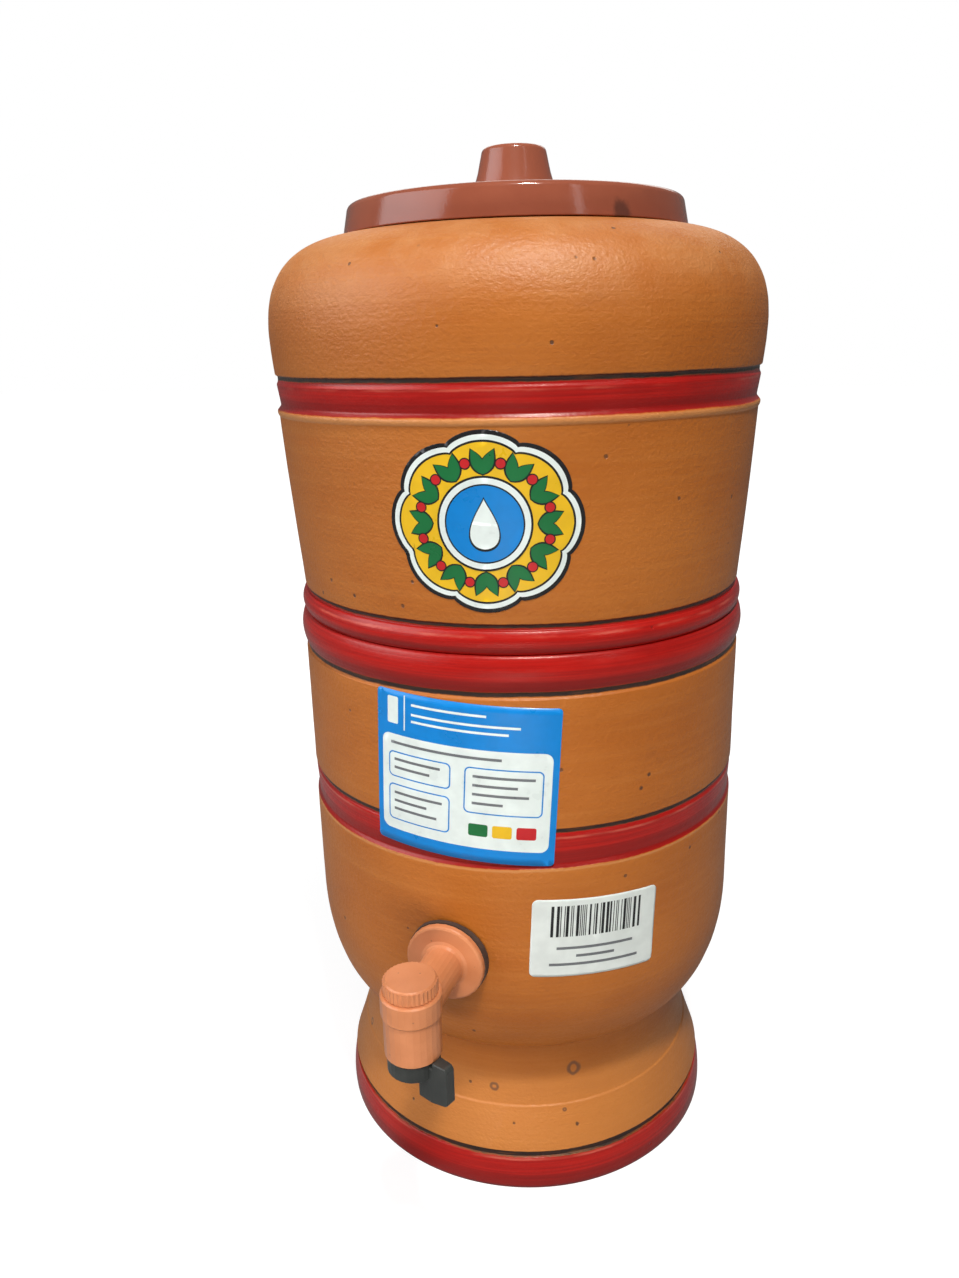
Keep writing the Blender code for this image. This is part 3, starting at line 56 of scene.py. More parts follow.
class Shader:
    """A material and short calls to add and link its nodes."""

    SOCKETS = {
        "colour": "Base Color", "roughness": "Roughness", "metallic": "Metallic",
        "specular": "Specular IOR Level", "tint": "Specular Tint",
    }

    def __init__(self, name):
        self.material = bpy.data.materials.new(name)
        self.material.use_nodes = True
        self.tree = self.material.node_tree
        self.main = self.tree.nodes["Principled BSDF"]
        self.place = self.add("ShaderNodeTexCoord").outputs["Object"]

    def add(self, kind, **settings):
        made = self.tree.nodes.new(kind)
        for key, value in settings.items():
            setattr(made, key, value)
        return made

    def plug(self, socket, value):
        if isinstance(value, bpy.types.NodeSocket):
            self.tree.links.new(value, socket)
        else:
            socket.default_value = value

    def math(self, operation, a, b=0.0, c=0.0):
        made = self.add("ShaderNodeMath", operation=operation)
        for socket, value in zip(made.inputs, (a, b, c)):
            self.plug(socket, value)
        return made.outputs[0]

    def times(self, a, b):
        return self.math("MULTIPLY", a, b)

    def plus(self, a, b):
        return self.math("ADD", a, b)

    def larger(self, a, b):
        return self.math("MAXIMUM", a, b)

    def line(self, value, slope, start):
        """The value times slope, plus start."""
        return self.math("MULTIPLY_ADD", value, slope, start)

    def centred(self, value, width):
        """A value from 0 to 1 as an offset between minus and plus half of width."""
        return self.line(value, width, -width / 2)

    def scaled(self, factors, offset=(0.0, 0.0, 0.0)):
        """The object's coordinates, in metres, times a factor for each axis."""
        made = self.add("ShaderNodeVectorMath", operation="MULTIPLY_ADD")
        self.plug(made.inputs[0], self.place)
        made.inputs[1].default_value = factors
        made.inputs[2].default_value = offset
        return made.outputs[0]

    def noise(self, vector, detail=3.0, roughness=0.55):
        made = self.add("ShaderNodeTexNoise")
        self.plug(made.inputs["Vector"], vector)
        made.inputs["Scale"].default_value = 1.0
        made.inputs["Detail"].default_value = detail
        made.inputs["Roughness"].default_value = roughness
        return made.outputs["Fac"]

    def even_noise(self, scale, detail=3.0):
        """Noise of the same scale along each axis."""
        return self.noise(self.scaled((scale, scale, scale)), detail=detail)

    def ramp(self, value, low, high, to_low=0.0, to_high=1.0):
        """A smooth rise from to_low, where the value is low, to to_high, where it is high."""
        made = self.add("ShaderNodeMapRange", clamp=True)
        made.interpolation_type = "SMOOTHSTEP"
        for name, number in (("Value", value), ("From Min", low), ("From Max", high),
                             ("To Min", to_low), ("To Max", to_high)):
            self.plug(made.inputs[name], number)
        return made.outputs["Result"]

    def mix(self, share, a, b):
        made = self.add("ShaderNodeMix", data_type="RGBA", blend_type="MIX")
        self.plug(made.inputs["Factor"], share)
        for socket, value in ((made.inputs[6], a), (made.inputs[7], b)):
            if isinstance(value, tuple):
                value = (*value, 1.0)
            self.plug(socket, value)
        return made.outputs[2]

    def over(self, base, colour, share, strength):
        """The base with a colour laid over it, by a share times a strength."""
        return self.mix(self.times(share, strength), base, colour)

    def spots(self, scale, size, share, soft=0.35):
        """Scattered round specks: a Voronoi cell holds one where its random value is under share."""
        cell = self.add("ShaderNodeTexVoronoi", feature="F1")
        self.plug(cell.inputs["Vector"], self.place)
        cell.inputs["Scale"].default_value = scale
        dot = self.ramp(cell.outputs["Distance"], size * (1 - soft), size, 1.0, 0.0)
        pick = self.add("ShaderNodeSeparateColor")
        self.plug(pick.inputs[0], cell.outputs["Color"])
        return self.times(dot, self.math("LESS_THAN", pick.outputs[0], share))

    def distance(self, point):
        made = self.add("ShaderNodeVectorMath", operation="DISTANCE")
        self.plug(made.inputs[0], self.place)
        made.inputs[1].default_value = point
        return made.outputs["Value"]

    def bump(self, height, distance, strength=1.0):
        made = self.add("ShaderNodeBump")
        made.inputs["Strength"].default_value = strength
        made.inputs["Distance"].default_value = distance
        self.plug(made.inputs["Height"], height)
        self.plug(self.main.inputs["Normal"], made.outputs[0])

    def set(self, **values):
        for key, value in values.items():
            if isinstance(value, tuple):
                value = (*value, 1.0)
            self.plug(self.main.inputs[self.SOCKETS[key]], value)


def around(angle, radius, height):
    """A point on the vessels, by its angle right of the tap in degrees, radius and height in mm."""
    turn = math.radians(angle)
    return Vector((radius * MM * math.sin(turn), AXIS_Y - radius * MM * math.cos(turn), height * MM))


# Outlines: points of radius and height in mm

def superellipse(centre, draw, rise, power, start, end, steps):
    found = []
    for step in range(steps + 1):
        angle = math.radians(start + (end - start) * step / steps)
        out = draw * max(math.cos(angle), 0.0) ** (2 / power)
        up = rise * max(math.sin(angle), 0.0) ** (2 / power)
        found.append((centre[0] + out, centre[1] + up))
    return found


def arc(centre, radius, start, end, steps):
    found = []
    for step in range(steps + 1):
        angle = math.radians(start + (end - start) * step / steps)
        found.append((centre[0] + radius * math.cos(angle), centre[1] + radius * math.sin(angle)))
    return found


def bead(top_radius, bottom_radius, swell, top, height, steps):
    """A rounded stripe that stands out by swell between its two edges."""
    found = []
    for step in range(steps + 1):
        share = step / steps
        edge = top_radius + (bottom_radius - top_radius) * share
        found.append((edge + swell * math.sin(math.pi * share) ** 0.8, top - height * share))
    return found


def band(top_radius, bottom_radius, top, height):
    """A painted stripe, with a groove at its top and a face that leans in to a notch at its foot."""
    groove, face, notch = 0.9, 0.33, 1.0
    bottom = top - height
    return [
        (top_radius, top), (top_radius - groove, top - 0.5), (top_radius - groove, top - 2.3),
        (top_radius - face, top - 3.3), (bottom_radius - notch, bottom + 1.3), (bottom_radius, bottom),
    ]


def wall(radius, top, bottom, step):
    """Points down a straight wall, close enough together for its uneven surface."""
    return [(radius, height) for height in range(top, bottom - 1, -step)]


def rounded(points, cut):
    """The outline with each sharp corner replaced by a short curve."""
    found = [points[0]]
    for before, here, after in zip(points, points[1:], points[2:]):
        a = Vector(before) - Vector(here)
        b = Vector(after) - Vector(here)
        reach = min(cut, 0.42 * a.length, 0.42 * b.length)
        if a.length < TINY or b.length < TINY or a.angle(b) > math.radians(172):
            found.append(here)
            continue
        start = Vector(here) + a.normalized() * reach
        end = Vector(here) + b.normalized() * reach
        for share in (0.0, 0.33, 0.67, 1.0):
            point = start * (1 - share) ** 2 + Vector(here) * 2 * share * (1 - share) + end * share ** 2
            found.append((point.x, point.y))
    found.append(points[-1])
    return found


VESSEL_CORNER = 0.5
LOWER_RADIUS, RIM_RADIUS = 88.6, 88.2
RIM_TOP, RIM_BEAD, RIM_SWELL = 228.0, 12.6, 1.5
RIM_GROOVE = 0.45
LOWER_BAND_TOP, LOWER_BAND_HEIGHT = 164.2, 15.4
BELLY_HEIGHT, BELLY_POWER = 105.0, 1.94
NECK_RADIUS, NECK_HEIGHT = 69.6, 61.0
CREASE_RADIUS, CREASE_HEIGHT = 73.7, 33.8
FOOT_RADIUS, FOOT_TOP_RADIUS, FOOT_BAND = 81.3, 80.0, 13.6
FOOT_HOLLOW_RADIUS, FOOT_HOLLOW_DRAW, FOOT_HOLLOW_STEPS = 71.0, 13.0, 8
LOWER_FLOOR, LOWER_INNER_RADIUS, LOWER_INNER_ROUND = 69.0, 79.8, (22.0, 27.0)

SHOULDER_CENTRE = (58.2, 332.1)
SHOULDER_RADIUS, SHOULDER_RISE, SHOULDER_POWER = 94.0, 33.8, 2.48
MOUTH_RADIUS, MOUTH_TOP, MOUTH_INNER_RADIUS = 59.8, 374.4, 52.8
MOUTH_BEVEL = 1.5
UPPER_BAND_TOP, UPPER_BAND_HEIGHT = 318.3, 12.3
WALL_LOW, WALL_HIGH = (87.4, 238.8), (92.4, 306.0)
WALL_SWELL, WALL_STEPS = 0.25, 9
UPPER_BEAD_TOP, UPPER_BEAD, UPPER_BEAD_SWELL = 236.5, 8.2, 1.4
UPPER_FLOOR, UPPER_UNDERSIDE, FLOOR_HOLE = 226.0, 216.0, 6.6
SOCKET_RADIUS = 78.6


def lower_outer():
    groove = RIM_RADIUS - RIM_GROOVE
    points = bead(RIM_RADIUS, RIM_RADIUS, RIM_SWELL, RIM_TOP, RIM_BEAD, 14)
    points += [(groove, 214.9), (groove, 213.1), (LOWER_RADIUS, 212.6)]
    points += wall(LOWER_RADIUS, 204, 172, 8)
    points += band(LOWER_RADIUS, LOWER_RADIUS, LOWER_BAND_TOP, LOWER_BAND_HEIGHT)
    points += wall(LOWER_RADIUS, 141, 117, 8) + [(LOWER_RADIUS, 111.0)]
    draw, rise = LOWER_RADIUS - NECK_RADIUS, NECK_HEIGHT - BELLY_HEIGHT
    points += superellipse((NECK_RADIUS, BELLY_HEIGHT), draw, rise, BELLY_POWER, 0.0, 90.0, 30)
    for step in range(1, 10):
        share = step / 10
        waist = 0.8 * math.sin(math.pi * share)
        points.append((NECK_RADIUS + (CREASE_RADIUS - NECK_RADIUS) * share - waist,
                       NECK_HEIGHT + (CREASE_HEIGHT - NECK_HEIGHT) * share))
    points += [(CREASE_RADIUS, CREASE_HEIGHT), (74.3, 33.3), (77.0, 25.0), (80.0, 16.4), (79.1, 15.9)]
    points += [(79.1, FOOT_BAND)]
    return points + bead(FOOT_TOP_RADIUS, FOOT_RADIUS, 0.6, FOOT_BAND, FOOT_BAND, 12)


def lower_inner():
    draw, rise = LOWER_INNER_ROUND
    points = [(radius, LOWER_FLOOR) for radius in (0.0, 20.0, 40.0)]
    points += superellipse((LOWER_INNER_RADIUS - draw, LOWER_FLOOR + rise), draw, -rise, 2.0, 90.0, 0.0, 12)
    points += [(LOWER_INNER_RADIUS, height) for height in (140.0, 185.0, RIM_TOP - 1.0)]
    return points + [(LOWER_INNER_RADIUS + 1.0, RIM_TOP)]


def foot_hollow():
    points = []
    for step in range(FOOT_HOLLOW_STEPS + 1):
        share = step / FOOT_HOLLOW_STEPS
        radius = FOOT_HOLLOW_RADIUS - FOOT_HOLLOW_DRAW * share + 1.5 * math.sin(math.pi * share)
        points.append((radius, NECK_HEIGHT * share))
    return points + [(30.0, NECK_HEIGHT), (0.0, NECK_HEIGHT)]


def upper_outer():
    points = [(MOUTH_INNER_RADIUS + MOUTH_BEVEL, MOUTH_TOP), (MOUTH_RADIUS - MOUTH_BEVEL, MOUTH_TOP)]
    points += [(MOUTH_RADIUS, MOUTH_TOP - MOUTH_BEVEL), (MOUTH_RADIUS, 366.4), (60.8, 365.9)]
    draw = SHOULDER_RADIUS - SHOULDER_CENTRE[0]
    shoulder = superellipse(SHOULDER_CENTRE, draw, SHOULDER_RISE, SHOULDER_POWER, 84.0, 0.0, 36)
    points += [point for point in shoulder if point[0] > 61.6]
    points += [(93.7, 326.5), (93.3, 322.0)]
    points += band(92.9, WALL_HIGH[0], UPPER_BAND_TOP, UPPER_BAND_HEIGHT)
    # The small lip under the band
    points += [(92.8, 305.6), (92.9, 304.8), (92.7, 304.0), (92.25, 303.4)]
    points += [upper_wall(step / WALL_STEPS) for step in range(1, WALL_STEPS)]
    points += [WALL_LOW, (86.5, 238.3), (86.5, UPPER_BEAD_TOP)]
    return points + bead(WALL_LOW[0], WALL_LOW[0], UPPER_BEAD_SWELL, UPPER_BEAD_TOP, UPPER_BEAD, 12)


def upper_wall(share):
    """A point of the upper vessel's wall, from its top, at 0, to its foot, at 1."""
    swell = WALL_SWELL * math.sin(math.pi * share)
    return (WALL_HIGH[0] + (WALL_LOW[0] - WALL_HIGH[0]) * share + swell,
            WALL_HIGH[1] + (WALL_LOW[1] - WALL_HIGH[1]) * share)


def upper_inner():
    points = [(radius, UPPER_FLOOR) for radius in (FLOOR_HOLE, 30.0, 55.0)]
    points += arc((69.8, UPPER_FLOOR + 9.0), 9.0, 270.0, 360.0, 8)
    points += [(80.0, 260.0), (82.5, 290.0), (85.4, 325.0)]
    centre = (MOUTH_INNER_RADIUS, SHOULDER_CENTRE[1])
    points += superellipse(centre, 32.6, 25.2, SHOULDER_POWER, 0.0, 90.0, 16)
    points += [(MOUTH_INNER_RADIUS, 365.0), (MOUTH_INNER_RADIUS, MOUTH_TOP - MOUTH_BEVEL)]
    return points + [(MOUTH_INNER_RADIUS + MOUTH_BEVEL, MOUTH_TOP)]


def upper_underside():
    return [
        (SOCKET_RADIUS, 228.3), (SOCKET_RADIUS, 218.0), (SOCKET_RADIUS - 2.0, UPPER_UNDERSIDE),
        (40.0, UPPER_UNDERSIDE), (FLOOR_HOLE, UPPER_UNDERSIDE), (FLOOR_HOLE, UPPER_FLOOR),
    ]


def lid_outline():
    knob_top = 396.1
    outside = [(0.0, knob_top), (5.0, knob_top)]
    outside += arc((10.0, knob_top - 2.0), 2.0, 90.0, 12.0, 6)
    outside += [(13.5, 387.5), (15.9, 379.9), (17.2, 378.9), (39.15, 378.6), (50.0, 378.0), (60.0, 377.0)]
    outside += arc((60.0, 374.6), 2.4, 84.0, 8.0, 8)
    outside += [(64.1, 366.2)]
    inside = [(61.8, 366.2), (60.1, 374.7), (38.0, 375.5), (13.7, 376.6)]
    inside += [(11.3, 387.5), (9.8, 392.9), (0.0, 393.9)]
    return rounded(outside + inside, 0.45)


# Turned meshes

VESSEL_STEPS = 192


def lean(turn, height):
    """The slow part of how far the hand-turned wall departs from a true circle, in mm."""
    slow = noise.noise(Vector((1.2 * math.cos(turn), 1.2 * math.sin(turn), 0.018 * height)))
    return 0.22 * (slow - 0.9)


def wobble(turn, height):
    """The wall's whole departure: its lean and the turning ridges. It never stands proud."""
    ridge = noise.noise(Vector((0.35 * math.cos(turn), 0.35 * math.sin(turn), 0.22 * height + 40.0)))
    return lean(turn, height) + 0.08 * (ridge - 0.8)


def joined(sections):
    """The points of all sections as (radius, height, uneven, slot), each shared end once."""
    rings = []
    for slot, points, uneven in sections:
        for index, (radius, height) in enumerate(points):
            if rings and index == 0:
                last = rings[-1]
                if abs(last[0] - radius) < TINY and abs(last[1] - height) < TINY:
                    continue
            rings.append((radius, height, uneven, slot))
    return rings


def revolve(name, sections):
    """A turned mesh from sections of (material index, outline, whether its surface is uneven)."""
    rings = joined(sections)
    vertices = []
    starts = []
    for radius, height, uneven, _ in rings:
        starts.append(len(vertices))
        if radius < TINY:
            vertices.append((0.0, AXIS_Y, height * MM))
            continue
        for step in range(VESSEL_STEPS):
            turn = math.tau * step / VESSEL_STEPS
            out = radius + (wobble(turn, height) if uneven else 0.0)
            vertices.append((out * MM * math.cos(turn), AXIS_Y + out * MM * math.sin(turn), height * MM))
    faces = []
    chosen = []
    for index in range(len(rings) - 1):
        a, b = starts[index], starts[index + 1]
        point_a, point_b = rings[index][0] < TINY, rings[index + 1][0] < TINY
        if point_a and point_b:
            continue
        for step in range(VESSEL_STEPS):
            after = (step + 1) % VESSEL_STEPS
            if point_a:
                faces.append((a, b + step, b + after))
            elif point_b:
                faces.append((a + after, a + step, b))
            else:
                faces.append((a + after, a + step, b + step, b + after))
            chosen.append(rings[index + 1][3])
    mesh = bpy.data.meshes.new(name)
    mesh.from_pydata(vertices, [], faces)
    mesh.polygons.foreach_set("material_index", chosen)
    mesh.update()
    made = bmesh.new()
    made.from_mesh(mesh)
    bmesh.ops.recalc_face_normals(made, faces=made.faces)
    made.to_mesh(mesh)
    made.free()
    mesh.shade_smooth()
    return mesh


def linked(name, data):
    made = bpy.data.objects.new(name, data)
    SCENE.collection.objects.link(made)
    return made


def fitted(made, body, slot, *stands_for):
    """Ties a piece to its body and hides the solids that it stands for. The slot is not used."""
    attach(made, body)
    if stands_for:
        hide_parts(*stands_for)


def with_materials(name, mesh, materials):
    made = linked(name, mesh)
    for material in materials:
        mesh.materials.append(material)
    return made


def apply_modifiers(thing):
    """Bakes a piece's modifiers into its mesh."""
    graph = bpy.context.evaluated_depsgraph_get()
    baked = bpy.data.meshes.new_from_object(thing.evaluated_get(graph))
    thing.modifiers.clear()
    thing.data = baked


# Painted clay. Heights of stripes are in mm, as pairs of bottom and top

RED_BANDS = ((-5.0, 13.6), (148.8, 162.3), (215.2, 237.2), (306.0, 316.7))
DARK_LINES = ((13.6, 15.9), (162.3, 164.2), (213.4, 215.2), (237.2, 238.8), (316.7, 318.3))
# Painted shade: the lower parts of the bands and beads, which face down, are a darker red
SHADED_LOWER_PARTS = ((-5.0, 6.0), (148.8, 154.8), (215.4, 219.5), (228.2, 231.0), (306.0, 310.6))
# Painted highlights: thin pale lines just under the top of each band and bead
BAND_EDGE_HIGHLIGHTS = ((12.4, 13.2), (160.0, 160.8), (234.2, 235.0), (314.0, 314.7))
# Painted highlights: pale lines on the ridges under two bands, and on the foot's step
RIDGE_HIGHLIGHTS = ((147.7, 148.5), (303.6, 305.6))
FOOT_RIDGE_HIGHLIGHT = ((33.2, 33.9),)

# The heights between which the shoulder's rough top and painted sheen set in, and between which the foot's
# painted light fades out
SHOULDER_TOP_AND_SHEEN, FOOT_LIGHT_FADE = (334.0, 356.0), (40.0, 52.0)

# Stains in the clay: angle right of the tap, height, radius of the wall there, and size, in degrees and mm
STAIN_RINGS = (
    (8.0, 40.7, 72.4, 1.7), (34.2, 47.3, 70.8, 2.6), (30.3, 31.6, 74.9, 0.9),
    (-52.0, 36.0, 73.6, 1.6), (118.0, 28.0, 76.1, 1.9), (201.0, 42.0, 72.0, 1.4),
)
STAIN_DOTS = (
    (49.1, 179.5, 88.4, 0.9), (47.1, 175.0, 88.4, 1.0), (18.6, 39.7, 72.7, 0.8), (59.1, 41.3, 72.3, 0.8),
    (34.0, 25.3, 77.0, 1.0), (14.5, 27.1, 76.4, 0.8), (-19.6, 25.2, 77.0, 0.8), (3.6, 333.4, 93.7, 0.6),
    (24.8, 327.8, 93.5, 0.6), (52.4, 360.8, 83.2, 0.9), (29.9, 352.2, 90.1, 0.9), (33.4, 351.5, 90.3, 1.0),
    (5.7, 361.8, 82.0, 0.9), (64.2, 142.7, 88.4, 0.9), (-5.5, 252.4, 88.2, 0.9), (-1.5, 357.6, 86.6, 1.3),
    (1.0, 358.6, 86.0, 0.9), (-23.1, 244.1, 87.6, 0.8),
)

OCHRE_DARK, OCHRE_LIGHT = (0.455, 0.120, 0.009), (0.530, 0.158, 0.019)
OCHRE_STREAK, OCHRE_SMEAR, OCHRE_GRAIN = (0.62, 0.225, 0.042), (0.33, 0.092, 0.016), (0.34, 0.088, 0.013)
RIDGE_HIGHLIGHT_COLOUR, PAINTED_SHEEN_PALE, FOOT_PAINTED_LIGHT = (0.72, 0.33, 0.12), (0.66, 0.31, 0.12), (0.68, 0.265, 0.065)
GRIT, CHIP = (0.10, 0.045, 0.022), (0.86, 0.52, 0.28)
RED_DARK, RED_LIGHT = (0.34, 0.0025, 0.0018), (0.50, 0.0080, 0.0040)
RED_SHADE, RED_PATCH, RED_HIGHLIGHT = (0.19, 0.0012, 0.0012), (0.25, 0.0020, 0.0020), (0.80, 0.20, 0.13)
LINE_DARK, LINE_THIN = (0.020, 0.010, 0.008), (0.105, 0.030, 0.014)
RING_STAIN, DOT_STAIN = (0.085, 0.045, 0.032), (0.055, 0.028, 0.018)


def stripes(s, height, ranges, edge):
    """One inside any of the height ranges and zero outside, with edges of the given softness in mm."""
    total = None
    for start, end in ranges:
        middle, half = (start + end) / 2 * MM, (end - start) / 2 * MM
        away = s.math("ABSOLUTE", s.math("SUBTRACT", height, middle))
        inside = s.ramp(away, half - edge * MM, half + edge * MM, 1.0, 0.0)
        total = inside if total is None else s.larger(total, inside)
    return total


def between(s, level, heights, to_low, to_high):
    """A smooth change from one value to the other between two heights in mm."""
    low, high = heights
    return s.ramp(level, low * MM, high * MM, to_low, to_high)


def ochre(s, level, height, fine, mottle, smear, rough_top_and_painted_sheen, dirt, chips):
    """The clay's ochre wash, with a painted sheen on the shoulder's top, painted highlights on the ridges and
    painted light low on the foot.
    """
    streak = s.noise(s.scaled((10.0, 10.0, 420.0), (3.0, 5.0, 7.0)))
    clay = s.mix(s.ramp(mottle, 0.3, 0.72), OCHRE_DARK, OCHRE_LIGHT)
    clay = s.mix(s.ramp(streak, 0.4, 0.8, 0.0, 0.28), clay, OCHRE_STREAK)
    clay = s.mix(s.ramp(smear, 0.60, 0.78, 0.0, 0.35), clay, OCHRE_SMEAR)
    clay = s.mix(s.ramp(fine, 0.55, 0.8, 0.0, 0.30), clay, OCHRE_GRAIN)
    # Painted highlights: pale lines along the ridges and the foot's step
    clay = s.over(clay, RIDGE_HIGHLIGHT_COLOUR, stripes(s, height, RIDGE_HIGHLIGHTS, 0.35), 0.50)
    clay = s.over(clay, RIDGE_HIGHLIGHT_COLOUR, stripes(s, height, FOOT_RIDGE_HIGHLIGHT, 0.35), 0.16)
    # Painted sheen: pale clay laid over the shoulder's top, as a broad highlight
    clay = s.over(clay, PAINTED_SHEEN_PALE, rough_top_and_painted_sheen, 0.42)
    # Painted light: the foot is paler up to about the edge of the belly's shadow, fading out from 40 to 52 mm
    clay = s.mix(between(s, level, FOOT_LIGHT_FADE, 0.45, 0.0), clay, FOOT_PAINTED_LIGHT)
    clay = s.over(clay, GRIT, dirt, 0.75)
    return s.over(clay, CHIP, chips, 0.8)


def red_paint(s, height, brush):
    """Brushed red, with painted shade in the lower part of each band and bead, and a painted highlight, a
    pale thin line near the top, here and there.
    """
    patch = s.noise(s.scaled((34.0, 34.0, 60.0), (9.0, 1.0, 4.0)))
    paint = s.mix(s.ramp(brush, 0.30, 0.70), RED_DARK, RED_LIGHT)
    # Painted shade: darker red on the lower part of each band and bead
    paint = s.over(paint, RED_SHADE, stripes(s, height, SHADED_LOWER_PARTS, 1.3), 0.62)
    paint = s.mix(s.ramp(patch, 0.48, 0.78, 0.0, 0.40), paint, RED_PATCH)
    # Painted highlight: a thin pale line near each band's top, fading out in patches
    edges = stripes(s, height, BAND_EDGE_HIGHLIGHTS, 0.35)
    return s.over(paint, RED_HIGHLIGHT, edges, s.ramp(patch, 0.35, 0.6, 0.45, 0.0))


def stained(s, colour, pits, hair):
    """Adds the rings and dots, and the dots to the pits."""
    for angle, height, radius, size in STAIN_RINGS:
        away = s.plus(s.distance(around(angle, radius, height)), s.centred(hair, 1.4 * MM))
        ring = s.times(s.ramp(away, size * 0.42 * MM, size * 0.72 * MM),
                       s.ramp(away, size * 0.95 * MM, size * 1.3 * MM, 1.0, 0.0))
        colour = s.over(colour, RING_STAIN, ring, 0.72)
    for angle, height, radius, size in STAIN_DOTS:
        away = s.plus(s.distance(around(angle, radius, height)), s.centred(hair, 1.0 * MM))
        dot = s.ramp(away, size * 0.45 * MM, size * MM, 1.0, 0.0)
        colour = s.over(colour, DOT_STAIN, dot, 0.85)
        pits = s.larger(pits, dot)
    return colour, pits


def painted_clay():
    s = Shader("painted_clay")
    parts = s.add("ShaderNodeSeparateXYZ")
    s.plug(parts.inputs[0], s.place)
    level = parts.outputs[2]
    drift = s.noise(s.scaled((26.0, 26.0, 9.0)), detail=2.0)
    hair = s.noise(s.scaled((420.0, 420.0, 60.0)), detail=1.0)
    height = s.plus(s.plus(level, s.centred(drift, 1.2 * MM)), s.centred(hair, 0.4 * MM))
    red = stripes(s, height, RED_BANDS, 0.22)
    line = stripes(s, height, DARK_LINES, 0.25)

    turning = s.noise(s.scaled((7.0, 7.0, 1500.0)), roughness=0.6)
    fine = s.noise(s.scaled((850.0, 850.0, 1100.0)), detail=4.0, roughness=0.6)
    mottle = s.noise(s.scaled((14.0, 14.0, 22.0)), detail=5.0, roughness=0.6)
    smear = s.noise(s.scaled((38.0, 38.0, 52.0), (6.0, 6.0, 1.0)), detail=6.0, roughness=0.7)
    brush = s.noise(s.scaled((16.0, 16.0, 1100.0), (1.0, 2.0, 3.0)), detail=4.0, roughness=0.65)
    thin = s.noise(s.scaled((60.0, 60.0, 700.0), (2.0, 8.0, 1.0)), detail=2.0)
    peel = s.noise(s.scaled((600.0, 600.0, 760.0), (4.0, 2.0, 9.0)), detail=2.0, roughness=0.5)
    # The shoulder's top: rougher and grainier, and painted paler as a sheen
    rough_top_and_painted_sheen = s.times(between(s, level, SHOULDER_TOP_AND_SHEEN, 0.0, 1.0), s.ramp(smear, 0.36, 0.62, 0.25, 1.0))
    dirt = s.larger(s.spots(150.0, 0.13, 0.06), s.spots(58.0, 0.05, 0.05))
    chips = s.spots(74.0, 0.05, 0.05)

    clay = ochre(s, level, height, fine, mottle, smear, rough_top_and_painted_sheen, dirt, chips)
    colour = s.mix(red, clay, red_paint(s, height, brush))
    lines = s.mix(s.ramp(thin, 0.5, 0.85, 0.0, 0.6), LINE_DARK, LINE_THIN)
    colour = s.over(colour, lines, line, s.ramp(thin, 0.25, 0.45, 0.80, 1.0))
    colour, pits = stained(s, colour, dirt, hair)

    rough = s.ramp(fine, 0.3, 0.8, 0.42, 0.56)
    rough = s.plus(rough, s.times(red, -0.13))
    rough = s.plus(rough, s.times(rough_top_and_painted_sheen, 0.06))
    s.set(colour=colour, roughness=rough, specular=s.line(red, -0.20, 0.80), tint=(1.0, 0.94, 0.86))

    # The red paint fills the grain
    grain = s.times(fine, s.line(rough_top_and_painted_sheen, 0.9, 0.40))
    relief = s.plus(s.times(turning, 0.22), s.times(grain, s.line(red, -0.75, 1.0)))
    relief = s.plus(relief, s.times(peel, s.line(red, -0.6, 0.85)))
    relief = s.plus(relief, s.times(mottle, 1.5))
    relief = s.plus(relief, s.times(brush, s.times(red, 0.16)))
    relief = s.math("SUBTRACT", relief, s.times(pits, 0.9))
    relief = s.plus(relief, s.times(chips, 0.5))
    s.bump(relief, 0.26 * MM)
    return s.material


def raw_clay():
    """Unpainted clay, inside the vessels and under the foot."""
    s = Shader("raw_clay")
    mottle = s.noise(s.scaled((30.0, 30.0, 60.0)), detail=5.0)
    turning = s.noise(s.scaled((9.0, 9.0, 900.0)))
    grain = s.even_noise(1100.0)
    colour = s.mix(mottle, (0.50, 0.20, 0.095), (0.64, 0.31, 0.17))
    colour = s.mix(s.ramp(grain, 0.5, 0.8, 0.0, 0.4), colour, (0.33, 0.13, 0.06))
    s.set(colour=colour, roughness=s.ramp(grain, 0.3, 0.8, 0.82, 0.95), specular=0.2)
    s.bump(s.plus(s.times(turning, 0.6), grain), 0.3 * MM)
    return s.material


# Plastics, rubber and steel

def gloss_brown():
    """The lid's plastic, with a dark smudge on its skirt and a little dust."""
    s = Shader("brown_plastic")
    cloud = s.even_noise(22.0, 4.0)
    grain = s.even_noise(1400.0, 2.0)
    colour = s.mix(s.ramp(cloud, 0.3, 0.7), (0.285, 0.074, 0.038), (0.345, 0.098, 0.052))
    smudge = s.plus(s.distance(around(51.5, 63.9, 367.6)), s.centred(s.even_noise(160.0), 9.0 * MM))
    colour = s.mix(s.ramp(smudge, 1.2 * MM, 5.2 * MM, 0.75, 0.0), colour, (0.075, 0.028, 0.020))
    colour = s.over(colour, (0.55, 0.40, 0.33), s.spots(210.0, 0.10, 0.10), 0.4)
    s.set(colour=colour, roughness=s.ramp(cloud, 0.35, 0.75, 0.11, 0.19))
    s.bump(grain, 0.03 * MM)
    return s.material


